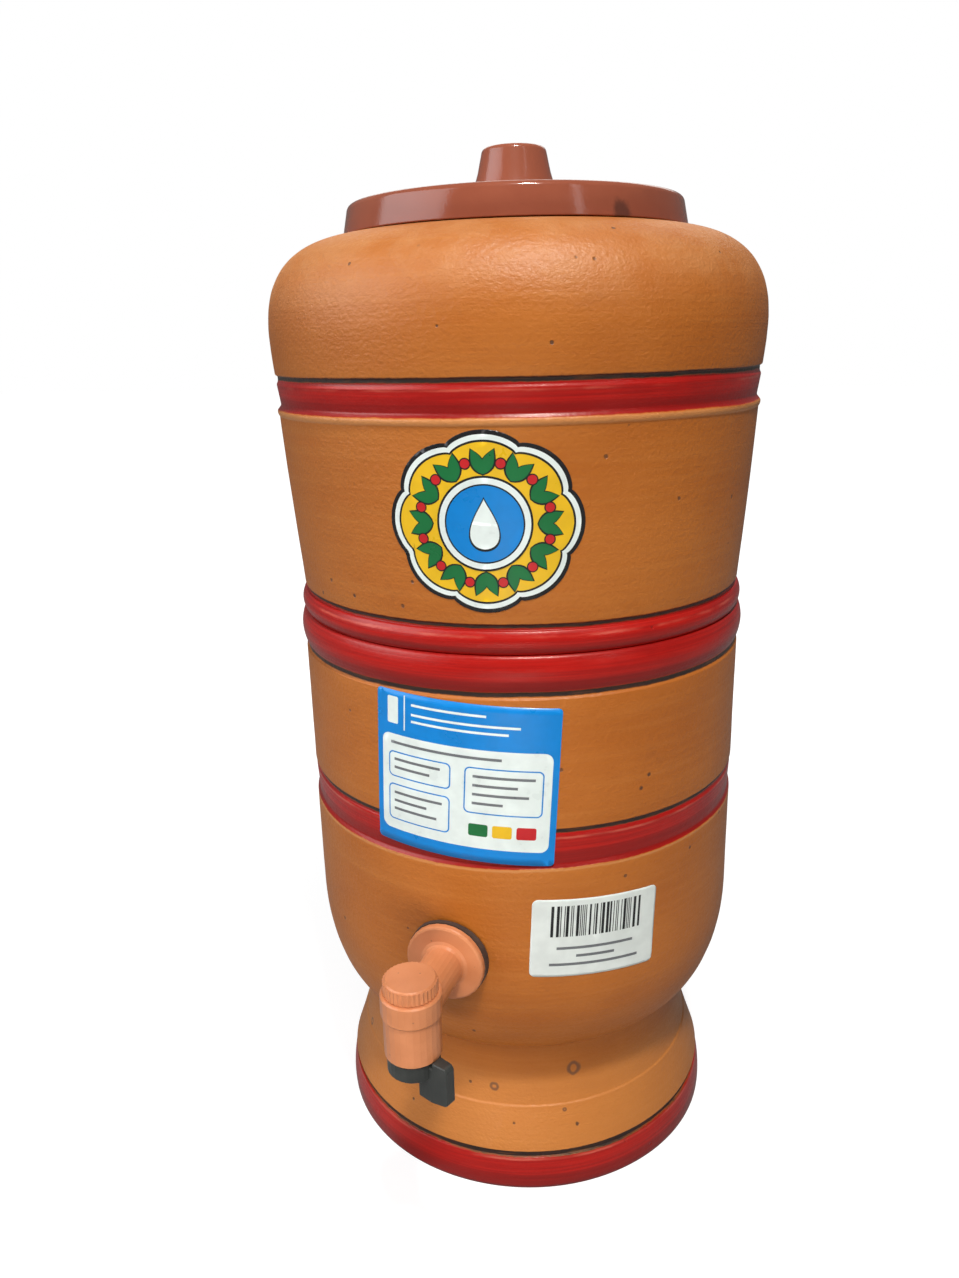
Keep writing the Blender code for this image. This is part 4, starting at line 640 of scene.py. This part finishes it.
def satin_terracotta():
    """The tap's plastic."""
    s = Shader("terracotta_plastic")
    cloud = s.even_noise(70.0, 4.0)
    grain = s.even_noise(1700.0, 2.0)
    colour = s.mix(s.ramp(cloud, 0.3, 0.7), (0.640, 0.228, 0.090), (0.725, 0.275, 0.120))
    colour = s.over(colour, (0.24, 0.09, 0.05), s.spots(420.0, 0.16, 0.06), 0.5)
    s.set(colour=colour, roughness=s.ramp(cloud, 0.3, 0.75, 0.28, 0.40))
    s.bump(s.plus(grain, s.times(cloud, 1.5)), 0.06 * MM)
    return s.material


def black_plastic():
    """The plug's plastic."""
    s = Shader("black_plastic")
    cloud = s.even_noise(90.0, 4.0)
    grain = s.even_noise(1500.0, 2.0)
    colour = s.mix(s.ramp(cloud, 0.3, 0.75), (0.026, 0.029, 0.027), (0.046, 0.049, 0.045))
    colour = s.over(colour, (0.30, 0.24, 0.19), s.spots(520.0, 0.18, 0.10), 0.35)
    s.set(colour=colour, roughness=s.ramp(cloud, 0.3, 0.75, 0.34, 0.50))
    s.bump(grain, 0.07 * MM)
    return s.material


def plain(name, dark, light, rough, grain_scale, grain_depth, metallic=0.0):
    """A material with a cloudy colour, and a grain that roughens it and is a relief of some depth in mm."""
    s = Shader(name)
    cloud = s.even_noise(60.0, 4.0)
    grain = s.even_noise(grain_scale)
    s.set(colour=s.mix(s.ramp(cloud, 0.3, 0.7), dark, light), metallic=metallic,
          roughness=s.ramp(grain, 0.3, 0.75, rough * 0.85, min(rough * 1.1, 1.0)))
    s.bump(grain, grain_depth * MM)
    return s.material


def dress_hidden_pieces():
    """Gives the small pieces that stay as they are in the solids their materials."""
    candle = plain("candle_ceramic", (0.74, 0.71, 0.64), (0.86, 0.84, 0.79), 0.92, 1500.0, 0.15)
    white = plain("white_plastic", (0.74, 0.74, 0.72), (0.80, 0.80, 0.78), 0.42, 1600.0, 0.04)
    brown_rubber = plain("brown_rubber", (0.060, 0.037, 0.029), (0.105, 0.070, 0.055), 0.78, 1300.0, 0.1)
    black_rubber = plain("black_rubber", (0.012, 0.012, 0.012), (0.026, 0.026, 0.025), 0.72, 1300.0, 0.1)
    steel = plain("steel", (0.50, 0.50, 0.49), (0.64, 0.64, 0.62), 0.28, 1800.0, 0.03, 1.0)
    finishes = (
        (candle, ("candle_shell",)),
        (white, ("candle_base", "candle_nut")),
        (brown_rubber, ("tap_outer_gasket", "tap_inner_gasket")),
        (black_rubber, ("cap_gasket", "candle_upper_washer", "candle_lower_washer",
                        "plug_upper_ring", "plug_lower_ring")),
        (steel, ("plug_spring", "plug_washer", "plug_screw")),
        (satin_terracotta(), ("tap_body", "tap_cap", "tap_nut")),
        (black_plastic(), ("tap_plug",)),
    )
    for material, names in finishes:
        for name in names:
            slots = NODES[name].data.materials
            slots.clear()
            slots.append(material)


# Vessels and lid

BORE_RADIUS, BORE_LENGTH, BORE_HEIGHT, BORE_REACH = 8.3, 40.0, 110.4, 84.0

# The places of the two materials on a vessel
PAINTED, BARE = 0, 1


def bore_cutter():
    """The hole for the tap's tail, as a bar through the lower vessel's front wall."""
    radius, length = BORE_RADIUS * MM, BORE_LENGTH * MM
    mesh = bpy.data.meshes.new("bore")
    bore = bmesh.new()
    bmesh.ops.create_cone(bore, cap_ends=True, segments=48, radius1=radius, radius2=radius, depth=length)
    bmesh.ops.rotate(bore, verts=bore.verts, matrix=Matrix.Rotation(math.radians(90.0), 3, "X"))
    bmesh.ops.translate(bore, verts=bore.verts, vec=(0.0, AXIS_Y - BORE_REACH * MM, BORE_HEIGHT * MM))
    bore.to_mesh(mesh)
    bore.free()
    return linked("bore", mesh)


def make_lower_vessel(clay, raw):
    outside = rounded(lower_outer(), VESSEL_CORNER)
    sections = [(BARE, lower_inner(), False), (PAINTED, outside, True), (BARE, foot_hollow(), False)]
    vessel = with_materials("filter_lower_vessel", revolve("filter_lower_vessel", sections), (clay, raw))
    cutter = bore_cutter()
    cut = vessel.modifiers.new("Tap hole", "BOOLEAN")
    cut.operation = "DIFFERENCE"
    cut.solver = "EXACT"
    cut.object = cutter
    bpy.context.view_layer.update()
    apply_modifiers(vessel)
    bpy.data.objects.remove(cutter)
    fitted(vessel, "lower_body", "painted_clay", "lower_vessel", "lower_foot")


def make_upper_vessel(clay, raw):
    outside = rounded(upper_outer(), VESSEL_CORNER)
    sections = [(BARE, upper_inner(), False), (PAINTED, outside, True), (BARE, upper_underside(), False)]
    vessel = with_materials("filter_upper_vessel", revolve("filter_upper_vessel", sections), (clay, raw))
    fitted(vessel, "upper_body", "painted_clay", "upper_vessel", "upper_shoulder", "mouth_ring")


def make_lid():
    lid = with_materials("filter_lid", revolve("filter_lid", [(0, lid_outline(), False)]), (gloss_brown(),))
    fitted(lid, "lid_body", "brown_plastic", "lid")


# Flat shapes for the labels, in mm from the middle of the label

def circle(radius, steps=48, centre=(0.0, 0.0)):
    angles = [math.tau * step / steps for step in range(steps)]
    return [(centre[0] + radius * math.cos(angle), centre[1] + radius * math.sin(angle)) for angle in angles]


def box(x0, y0, x1, y1, corner=0.0):
    if corner <= 0.0:
        return [(x0, y0), (x1, y0), (x1, y1), (x0, y1)]
    found = []
    for cx, cy, start in ((x1 - corner, y0 + corner, -90), (x1 - corner, y1 - corner, 0),
                          (x0 + corner, y1 - corner, 90), (x0 + corner, y0 + corner, 180)):
        found += arc((cx, cy), corner, start, start + 90, 6)
    return found


def scallop(width, height, shrink, lobes=8, depth=0.075, steps=240):
    """A rosette's rim with rounded lobes."""
    found = []
    for step in range(steps):
        turn = math.tau * step / steps
        reach = 1.0 - depth + depth * abs(math.cos(lobes / 2 * turn)) ** 0.7
        across, up = width / 2 * reach - shrink, height / 2 * reach - shrink
        found.append((across * math.cos(turn), up * math.sin(turn)))
    return found


def turned(points, angle, centre=(0.0, 0.0)):
    c, s = math.cos(math.radians(angle)), math.sin(math.radians(angle))
    return [(centre[0] + x * c - y * s, centre[1] + x * s + y * c) for x, y in points]


def on_ellipse(width, height, angle):
    """A point of an ellipse with these half axes."""
    return (width * math.cos(math.radians(angle)), height * math.sin(math.radians(angle)))


def leaf(length, width, steps=8):
    shares = [step / steps for step in range(steps + 1)]
    side = [(length * share, width / 2 * math.sin(math.pi * share ** 0.85)) for share in shares]
    return side + [(x, -y) for x, y in reversed(side[1:-1])]


def drop(size, steps=40):
    found = []
    for step in range(steps):
        turn = math.tau * step / steps
        found.append((0.5 * size * math.sin(turn) * math.sin(turn / 2) ** 1.4, 0.62 * size * math.cos(turn)))
    return found


# Laying the labels on the wall

FIRST_LIFT, LAYER_LIFT = 0.10, 0.022
GRID_ACROSS, GRID_UP = 2.0, 3.0
BAND_MIDDLE, BAND_REACH, BAND_SAG = 157.0, 5.5, 0.3


def wall_radius(outline, height):
    """The outline's radius at a height."""
    table = sorted((up, radius) for radius, up in outline)
    for (z0, r0), (z1, r1) in zip(table, table[1:]):
        if z0 <= height <= z1 and z1 > z0:
            return r0 + (r1 - r0) * (height - z0) / (z1 - z0)
    raise ValueError(height)


def lower_sheet(height):
    """The radius of a film on the lower vessel. It bridges the painted band and sags a little into it."""
    return LOWER_RADIUS - BAND_SAG * math.exp(-((height - BAND_MIDDLE) / BAND_REACH) ** 2)


def upper_sheet(height):
    return upper_wall((WALL_HIGH[1] - height) / (WALL_HIGH[1] - WALL_LOW[1]))[0]


# For each vessel its outline and the radius of a film on it
WALLS = {
    "lower": (rounded(lower_outer(), VESSEL_CORNER), lower_sheet),
    "upper": (rounded(upper_outer(), VESSEL_CORNER), upper_sheet),
}


def cut_across(part, values, step, normal):
    """Cuts a flat part along a grid, so that it bends with the wall."""
    at = math.ceil(min(values) / step) * step
    while at < max(values):
        geometry = part.verts[:] + part.edges[:] + part.faces[:]
        place = [at * share for share in normal]
        bmesh.ops.bisect_plane(part, geom=geometry, plane_co=place, plane_no=normal)
        at += step


def flat_part(shape):
    part = bmesh.new()
    part.faces.new([part.verts.new((x, y, 0.0)) for x, y in shape])
    bmesh.ops.triangulate(part, faces=part.faces)
    cut_across(part, [x for x, _ in shape], GRID_ACROSS, (1, 0, 0))
    cut_across(part, [y for _, y in shape], GRID_UP, (0, 1, 0))
    return part


def add_edge(part):
    """Gives the lowest layer a side that goes down to the clay."""
    rim = [edge for edge in part.edges if edge.is_boundary]
    side = bmesh.ops.extrude_edge_only(part, edges=rim)
    for vert in side["geom"]:
        if isinstance(vert, bmesh.types.BMVert):
            vert.co.z = -FIRST_LIFT + 0.01


def label(name, vessel, body, angle, middle, tilt, layers):
    """Layers of (flat shape, material, level), laid on the wall at an angle and a height."""
    outline, sheet = WALLS[vessel]
    mean = wall_radius(outline, middle)
    mesh = bpy.data.meshes.new(name)
    whole = bmesh.new()
    palette = []
    for order, (shape, material, level) in enumerate(layers):
        if material not in palette:
            palette.append(material)
        part = flat_part(shape)
        if order == 0:
            add_edge(part)
        bmesh.ops.recalc_face_normals(part, faces=part.faces)
        if sum(face.normal.z * face.calc_area() for face in part.faces) < 0:
            bmesh.ops.reverse_faces(part, faces=part.faces)
        for vert in part.verts:
            x, y = turned([(vert.co.x, vert.co.y)], -tilt)[0]
            there = angle + math.degrees(x / mean)
            height = middle + y
            surface = sheet(height) + lean(math.radians(there) - math.pi / 2, height)
            vert.co = around(there, surface + FIRST_LIFT + LAYER_LIFT * level + vert.co.z, height)
        for face in part.faces:
            face.material_index = palette.index(material)
            face.smooth = True
        holder = bpy.data.meshes.new("part")
        part.to_mesh(holder)
        part.free()
        whole.from_mesh(holder)
        bpy.data.meshes.remove(holder)
    whole.to_mesh(mesh)
    whole.free()
    fitted(with_materials(name, mesh, palette), body, "painted_clay")


# What the labels show

def printed(name, colour, rough=0.27):
    """Ink on a glossy film."""
    s = Shader(name)
    cloud = s.even_noise(120.0)
    dark = tuple(0.90 * part for part in colour)
    ripple = s.noise(s.scaled((95.0, 95.0, 75.0)), detail=2.0)
    s.set(colour=s.mix(s.ramp(cloud, 0.3, 0.7), dark, colour),
          roughness=s.ramp(cloud, 0.3, 0.7, rough, rough + 0.1))
    s.bump(ripple, 0.4 * MM, strength=0.35)
    return s.material


INK_BLACK = printed("ink_black", (0.012, 0.012, 0.013))
INK_WHITE = printed("ink_white", (0.88, 0.96, 0.92))
INK_YELLOW = printed("ink_yellow", (0.90, 0.54, 0.018))
INK_BLUE = printed("ink_blue", (0.003, 0.245, 0.70))
INK_GREEN = printed("ink_green", (0.010, 0.17, 0.045))
INK_RED = printed("ink_red", (0.60, 0.018, 0.022))
INK_GREY = printed("ink_grey", (0.17, 0.18, 0.19))
PAPER = printed("paper_white", (0.82, 0.87, 0.83), 0.42)

BADGE_SIZE = (64.8, 59.7)
LEAF_PAIRS = 12
LEAF_SWING = 24.0
BERRY_PLACE = (21.6, 20.0)
LEAF_PLACE = (16.8, 15.6)


def make_badge():
    """A wreath of leaf pairs and berries round a water drop."""
    layers = [
        (scallop(*BADGE_SIZE, 0.0), INK_BLACK, 0),
        (scallop(*BADGE_SIZE, 1.4), INK_WHITE, 1),
        (scallop(*BADGE_SIZE, 3.1), INK_BLACK, 2),
        (scallop(*BADGE_SIZE, 3.8), INK_YELLOW, 3),
    ]
    for pair in range(LEAF_PAIRS):
        turn = 360.0 / LEAF_PAIRS * pair
        outer = on_ellipse(*LEAF_PLACE, turn)
        nudge = on_ellipse(0.4, 0.4, turn)
        inner = (outer[0] + nudge[0], outer[1] + nudge[1])
        for swing in (-LEAF_SWING, LEAF_SWING):
            layers.append((turned(leaf(9.4, 4.6), turn + swing, outer), INK_BLACK, 4))
            layers.append((turned(leaf(8.6, 3.7), turn + swing, inner), INK_GREEN, 5))
        berry = on_ellipse(*BERRY_PLACE, turn + 180.0 / LEAF_PAIRS)
        layers.append((circle(1.9, 20, berry), INK_BLACK, 6))
        layers.append((circle(1.5, 20, berry), INK_RED, 7))
    layers += [
        (circle(15.6, 64), INK_BLACK, 8),
        (circle(14.9, 64), INK_WHITE, 9),
        (circle(13.0, 64), INK_BLACK, 10),
        (circle(12.5, 64), INK_BLUE, 11),
        (drop(14.5), INK_BLACK, 12),
        (drop(13.2), INK_WHITE, 13),
    ]
    label("badge", "upper", "upper_body", angle=11.4, middle=272.9, tilt=0.0, layers=layers)


def bar(x0, x1, middle, half):
    """A level bar, by its two ends, its height and half its thickness."""
    return box(x0, middle - half, x1, middle + half)


def make_card():
    """A blue card with a white field, bars in place of words, empty boxes and three colour fields."""
    layers = [
        (box(-34.1, -29.75, 34.1, 29.75, 1.6), INK_BLUE, 0),
        (box(-31.8, -24.6, 31.8, 13.2, 3.0), INK_WHITE, 1),
        (box(-29.5, 17.2, -25.0, 27.4, 0.6), INK_WHITE, 1),
        (box(-22.6, 15.4, -22.1, 28.6), INK_WHITE, 1),
    ]
    for y, x1 in ((25.6, 8.0), (22.0, 20.0), (19.4, 16.0)):
        layers.append((bar(-19.6, x1, y, 0.45), INK_WHITE, 1))
    frame_line = 0.5
    for x0, y0, x1, y1 in ((-29.0, -3.4, -4.0, 6.6), (-29.0, -20.6, -4.0, -6.2), (1.0, -11.0, 29.0, 6.6)):
        inside = (x0 + frame_line, y0 + frame_line, x1 - frame_line, y1 - frame_line)
        layers.append((box(x0, y0, x1, y1, 2.0), INK_BLUE, 2))
        layers.append((box(*inside, 1.6), INK_WHITE, 3))
    for x0, y, x1 in ((-28.0, 10.0, 14.0), (-26.5, 3.6, -8.0), (-26.5, 0.4, -12.0), (-26.5, -9.6, -7.0),
                      (-26.5, -12.8, -13.0), (-26.5, -16.0, -9.0), (4.0, 3.2, 26.0), (4.0, -0.2, 20.0),
                      (4.0, -3.6, 24.0), (4.0, -7.0, 15.0)):
        layers.append((bar(x0, x1, y, 0.5), INK_GREY, 4))
    for place, ink in enumerate((INK_GREEN, INK_YELLOW, INK_RED)):
        x0 = 3.0 + 8.6 * place
        layers.append((box(x0, -19.8, x0 + 7.0, -15.0, 0.8), ink, 2))
    label("data_card", "lower", "lower_body", angle=4.5, middle=181.6, tilt=3.3, layers=layers)


def make_tag():
    """A white sticker with stripes of random width and three bars."""
    layers = [(box(-24.7, -16.0, 24.7, 16.0, 2.2), PAPER, 0)]
    widths = (0.35, 0.35, 0.7, 1.05)
    picker = random.Random(11)
    at, last_start, end = -17.6, 17.0, 17.6
    while at < last_start:
        wide = picker.choice(widths)
        layers.append((box(at, 0.6, min(at + wide, end), 13.3), INK_BLACK, 1))
        at += wide + picker.choice(widths)
    for y, half in ((-4.2, 15.0), (-7.6, 7.5), (-11.0, 17.5)):
        layers.append((bar(-half, half, y, 0.55), INK_GREY, 1))
    label("stripe_tag", "lower", "lower_body", angle=35.8, middle=119.5, tilt=2.8, layers=layers)


# Camera and lamps

CAMERA_TURN = math.radians(18.3)
CAMERA_BACK = 402.7 * MM
CAMERA_HEIGHT = 329.8 * MM
PITCH, YAW, ROLL = 0.294003447, -0.0425415958, -0.0252129824
FOCAL_PIXELS = 995.68
IMAGE_HEIGHT = 1278
WARM = (1.0, 0.985, 0.955)


def add_camera():
    """The camera that was fitted to the photograph: it stands right of the tap and looks down."""
    direction = Vector((math.sin(YAW) * math.cos(PITCH), math.cos(YAW) * math.cos(PITCH), -math.sin(PITCH)))
    level = Vector((math.cos(YAW), -math.sin(YAW), 0.0))
    upright = level.cross(direction)
    side = math.cos(ROLL) * level + math.sin(ROLL) * upright
    top = -math.sin(ROLL) * level + math.cos(ROLL) * upright
    turn = Matrix.Rotation(CAMERA_TURN, 3, "Z")
    matrix = Matrix([turn @ part for part in (side, top, -direction)]).transposed().to_4x4()
    matrix.translation = turn @ Vector((0.0, -CAMERA_BACK, CAMERA_HEIGHT)) + Vector((0.0, AXIS_Y, 0.0))
    data = bpy.data.cameras.new("camera")
    data.sensor_width = 36.0
    data.sensor_fit = "AUTO"
    data.lens = FOCAL_PIXELS / IMAGE_HEIGHT * data.sensor_width
    data.clip_start = 0.01
    camera = linked("camera", data)
    camera.matrix_world = matrix
    SCENE.camera = camera


def area_light(name, angle, distance, height, size, power, colour, aim=0.2, spread=180.0):
    """A soft lamp, placed by its angle right of the camera in degrees."""
    data = bpy.data.lights.new(name, "AREA")
    data.shape = "RECTANGLE"
    data.size, data.size_y = size
    data.energy = power
    data.color = colour
    data.spread = math.radians(spread)
    made = linked(name, data)
    bearing = CAMERA_TURN + math.radians(angle)
    made.location = (distance * math.sin(bearing), AXIS_Y - distance * math.cos(bearing), height)
    look = Vector((0.0, AXIS_Y, aim)) - made.location
    made.rotation_mode = "QUATERNION"
    made.rotation_quaternion = look.to_track_quat("-Z", "Y")
    return made


def add_lamps():
    # The key lamp stands where the edge of the belly's shadow on the foot puts it
    area_light("key", angle=12.7, distance=0.62, height=1.43, size=(0.12, 0.12), power=13.5, colour=WARM)
    area_light("left", angle=-72.0, distance=1.10, height=0.85, size=(1.10, 0.80), power=3.9,
               colour=(0.90, 0.94, 1.0), aim=0.33, spread=120.0)
    area_light("right", angle=40.0, distance=0.60, height=0.55, size=(0.016, 0.60), power=0.05,
               colour=(0.95, 0.97, 1.0), aim=0.3, spread=90.0)
    area_light("back", angle=175.0, distance=1.10, height=1.05, size=(1.2, 0.45), power=3.0,
               colour=(1.0, 0.97, 0.92), aim=0.37)
    # These two show in no highlight: nothing of them is seen in the glossy bands
    front = area_light("front", angle=-2.0, distance=1.00, height=1.35, size=(0.5, 0.5), power=4.3,
                       colour=WARM)
    front.visible_glossy = False
    fill = area_light("fill", angle=-4.0, distance=0.60, height=0.06, size=(0.24, 0.10), power=1.15,
                      colour=WARM)
    fill.visible_glossy = False


# Floor and background

# Reflections see this share of the white background. The object's edges are dark and full of colour in the
# photograph, and a full share would bleach them
GLOSSY_SHARE = 0.13
FLOOR_REACH = 6.0
FLOOR_DROP = 0.2 * MM
FLOOR_UNSEEN, FLOOR_SEEN = (0.20, 0.20, 0.20), (0.9, 0.9, 0.9)
GLOW_SHARE = 0.66
# A distance from the vessels' axis in metres, and the strength of the floor's glow there
GLOW_NEAR, GLOW_FAR = (0.12, 1.28), (0.70, 1.65)
WORLD_DIM, WORLD_WHITE = 0.04, 1.0


def floor_material():
    """The camera sees the floor as white as the background but for the object's shadow."""
    s = Shader("floor")
    rays = s.add("ShaderNodeLightPath")
    seen = s.larger(rays.outputs["Is Camera Ray"], s.times(rays.outputs["Is Glossy Ray"], GLOSSY_SHARE))
    s.set(colour=s.mix(seen, FLOOR_UNSEEN, FLOOR_SEEN), roughness=0.9, specular=0.0)
    away = s.distance(Vector((0.0, AXIS_Y, 0.0)))
    (near, faint), (far, strong) = GLOW_NEAR, GLOW_FAR
    glow = s.add("ShaderNodeEmission")
    s.plug(glow.inputs["Strength"], s.ramp(away, near, far, faint, strong))
    both = s.add("ShaderNodeMixShader")
    s.plug(both.inputs[0], s.times(seen, GLOW_SHARE))
    s.plug(both.inputs[1], s.main.outputs[0])
    s.plug(both.inputs[2], glow.outputs[0])
    s.plug(s.tree.nodes["Material Output"].inputs[0], both.outputs[0])
    return s.material


def add_floor():
    reach = FLOOR_REACH
    mesh = bpy.data.meshes.new("floor")
    corners = [(-reach, -reach, 0), (reach, -reach, 0), (reach, reach, 0), (-reach, reach, 0)]
    mesh.from_pydata(corners, [], [(0, 1, 2, 3)])
    floor = linked("floor", mesh)
    floor.location.z = -FLOOR_DROP
    mesh.materials.append(floor_material())


def add_world():
    """White to the camera and through clear things, a share of that in reflections, nearly dark as a lamp."""
    world = bpy.data.worlds.new("studio")
    SCENE.world = world
    world.use_nodes = True
    tree = world.node_tree
    background = tree.nodes["Background"]
    background.inputs["Color"].default_value = (1.0, 1.0, 1.0, 1.0)
    rays = tree.nodes.new("ShaderNodeLightPath")
    direct = tree.nodes.new("ShaderNodeMath")
    direct.operation = "MAXIMUM"
    tree.links.new(rays.outputs["Is Camera Ray"], direct.inputs[0])
    tree.links.new(rays.outputs["Is Transmission Ray"], direct.inputs[1])
    seen = tree.nodes.new("ShaderNodeMath")
    seen.operation = "MULTIPLY_ADD"
    seen.use_clamp = True
    tree.links.new(rays.outputs["Is Glossy Ray"], seen.inputs[0])
    seen.inputs[1].default_value = GLOSSY_SHARE
    tree.links.new(direct.outputs[0], seen.inputs[2])
    strength = tree.nodes.new("ShaderNodeMapRange")
    strength.inputs["To Min"].default_value = WORLD_DIM
    strength.inputs["To Max"].default_value = WORLD_WHITE
    tree.links.new(seen.outputs[0], strength.inputs["Value"])
    tree.links.new(strength.outputs["Result"], background.inputs["Strength"])


painted, unpainted = painted_clay(), raw_clay()
dress_hidden_pieces()
make_lower_vessel(painted, unpainted)
make_upper_vessel(painted, unpainted)
make_lid()
make_badge()
make_card()
make_tag()
add_camera()
add_lamps()
add_floor()
add_world()
SCENE.view_settings.view_transform = "Standard"
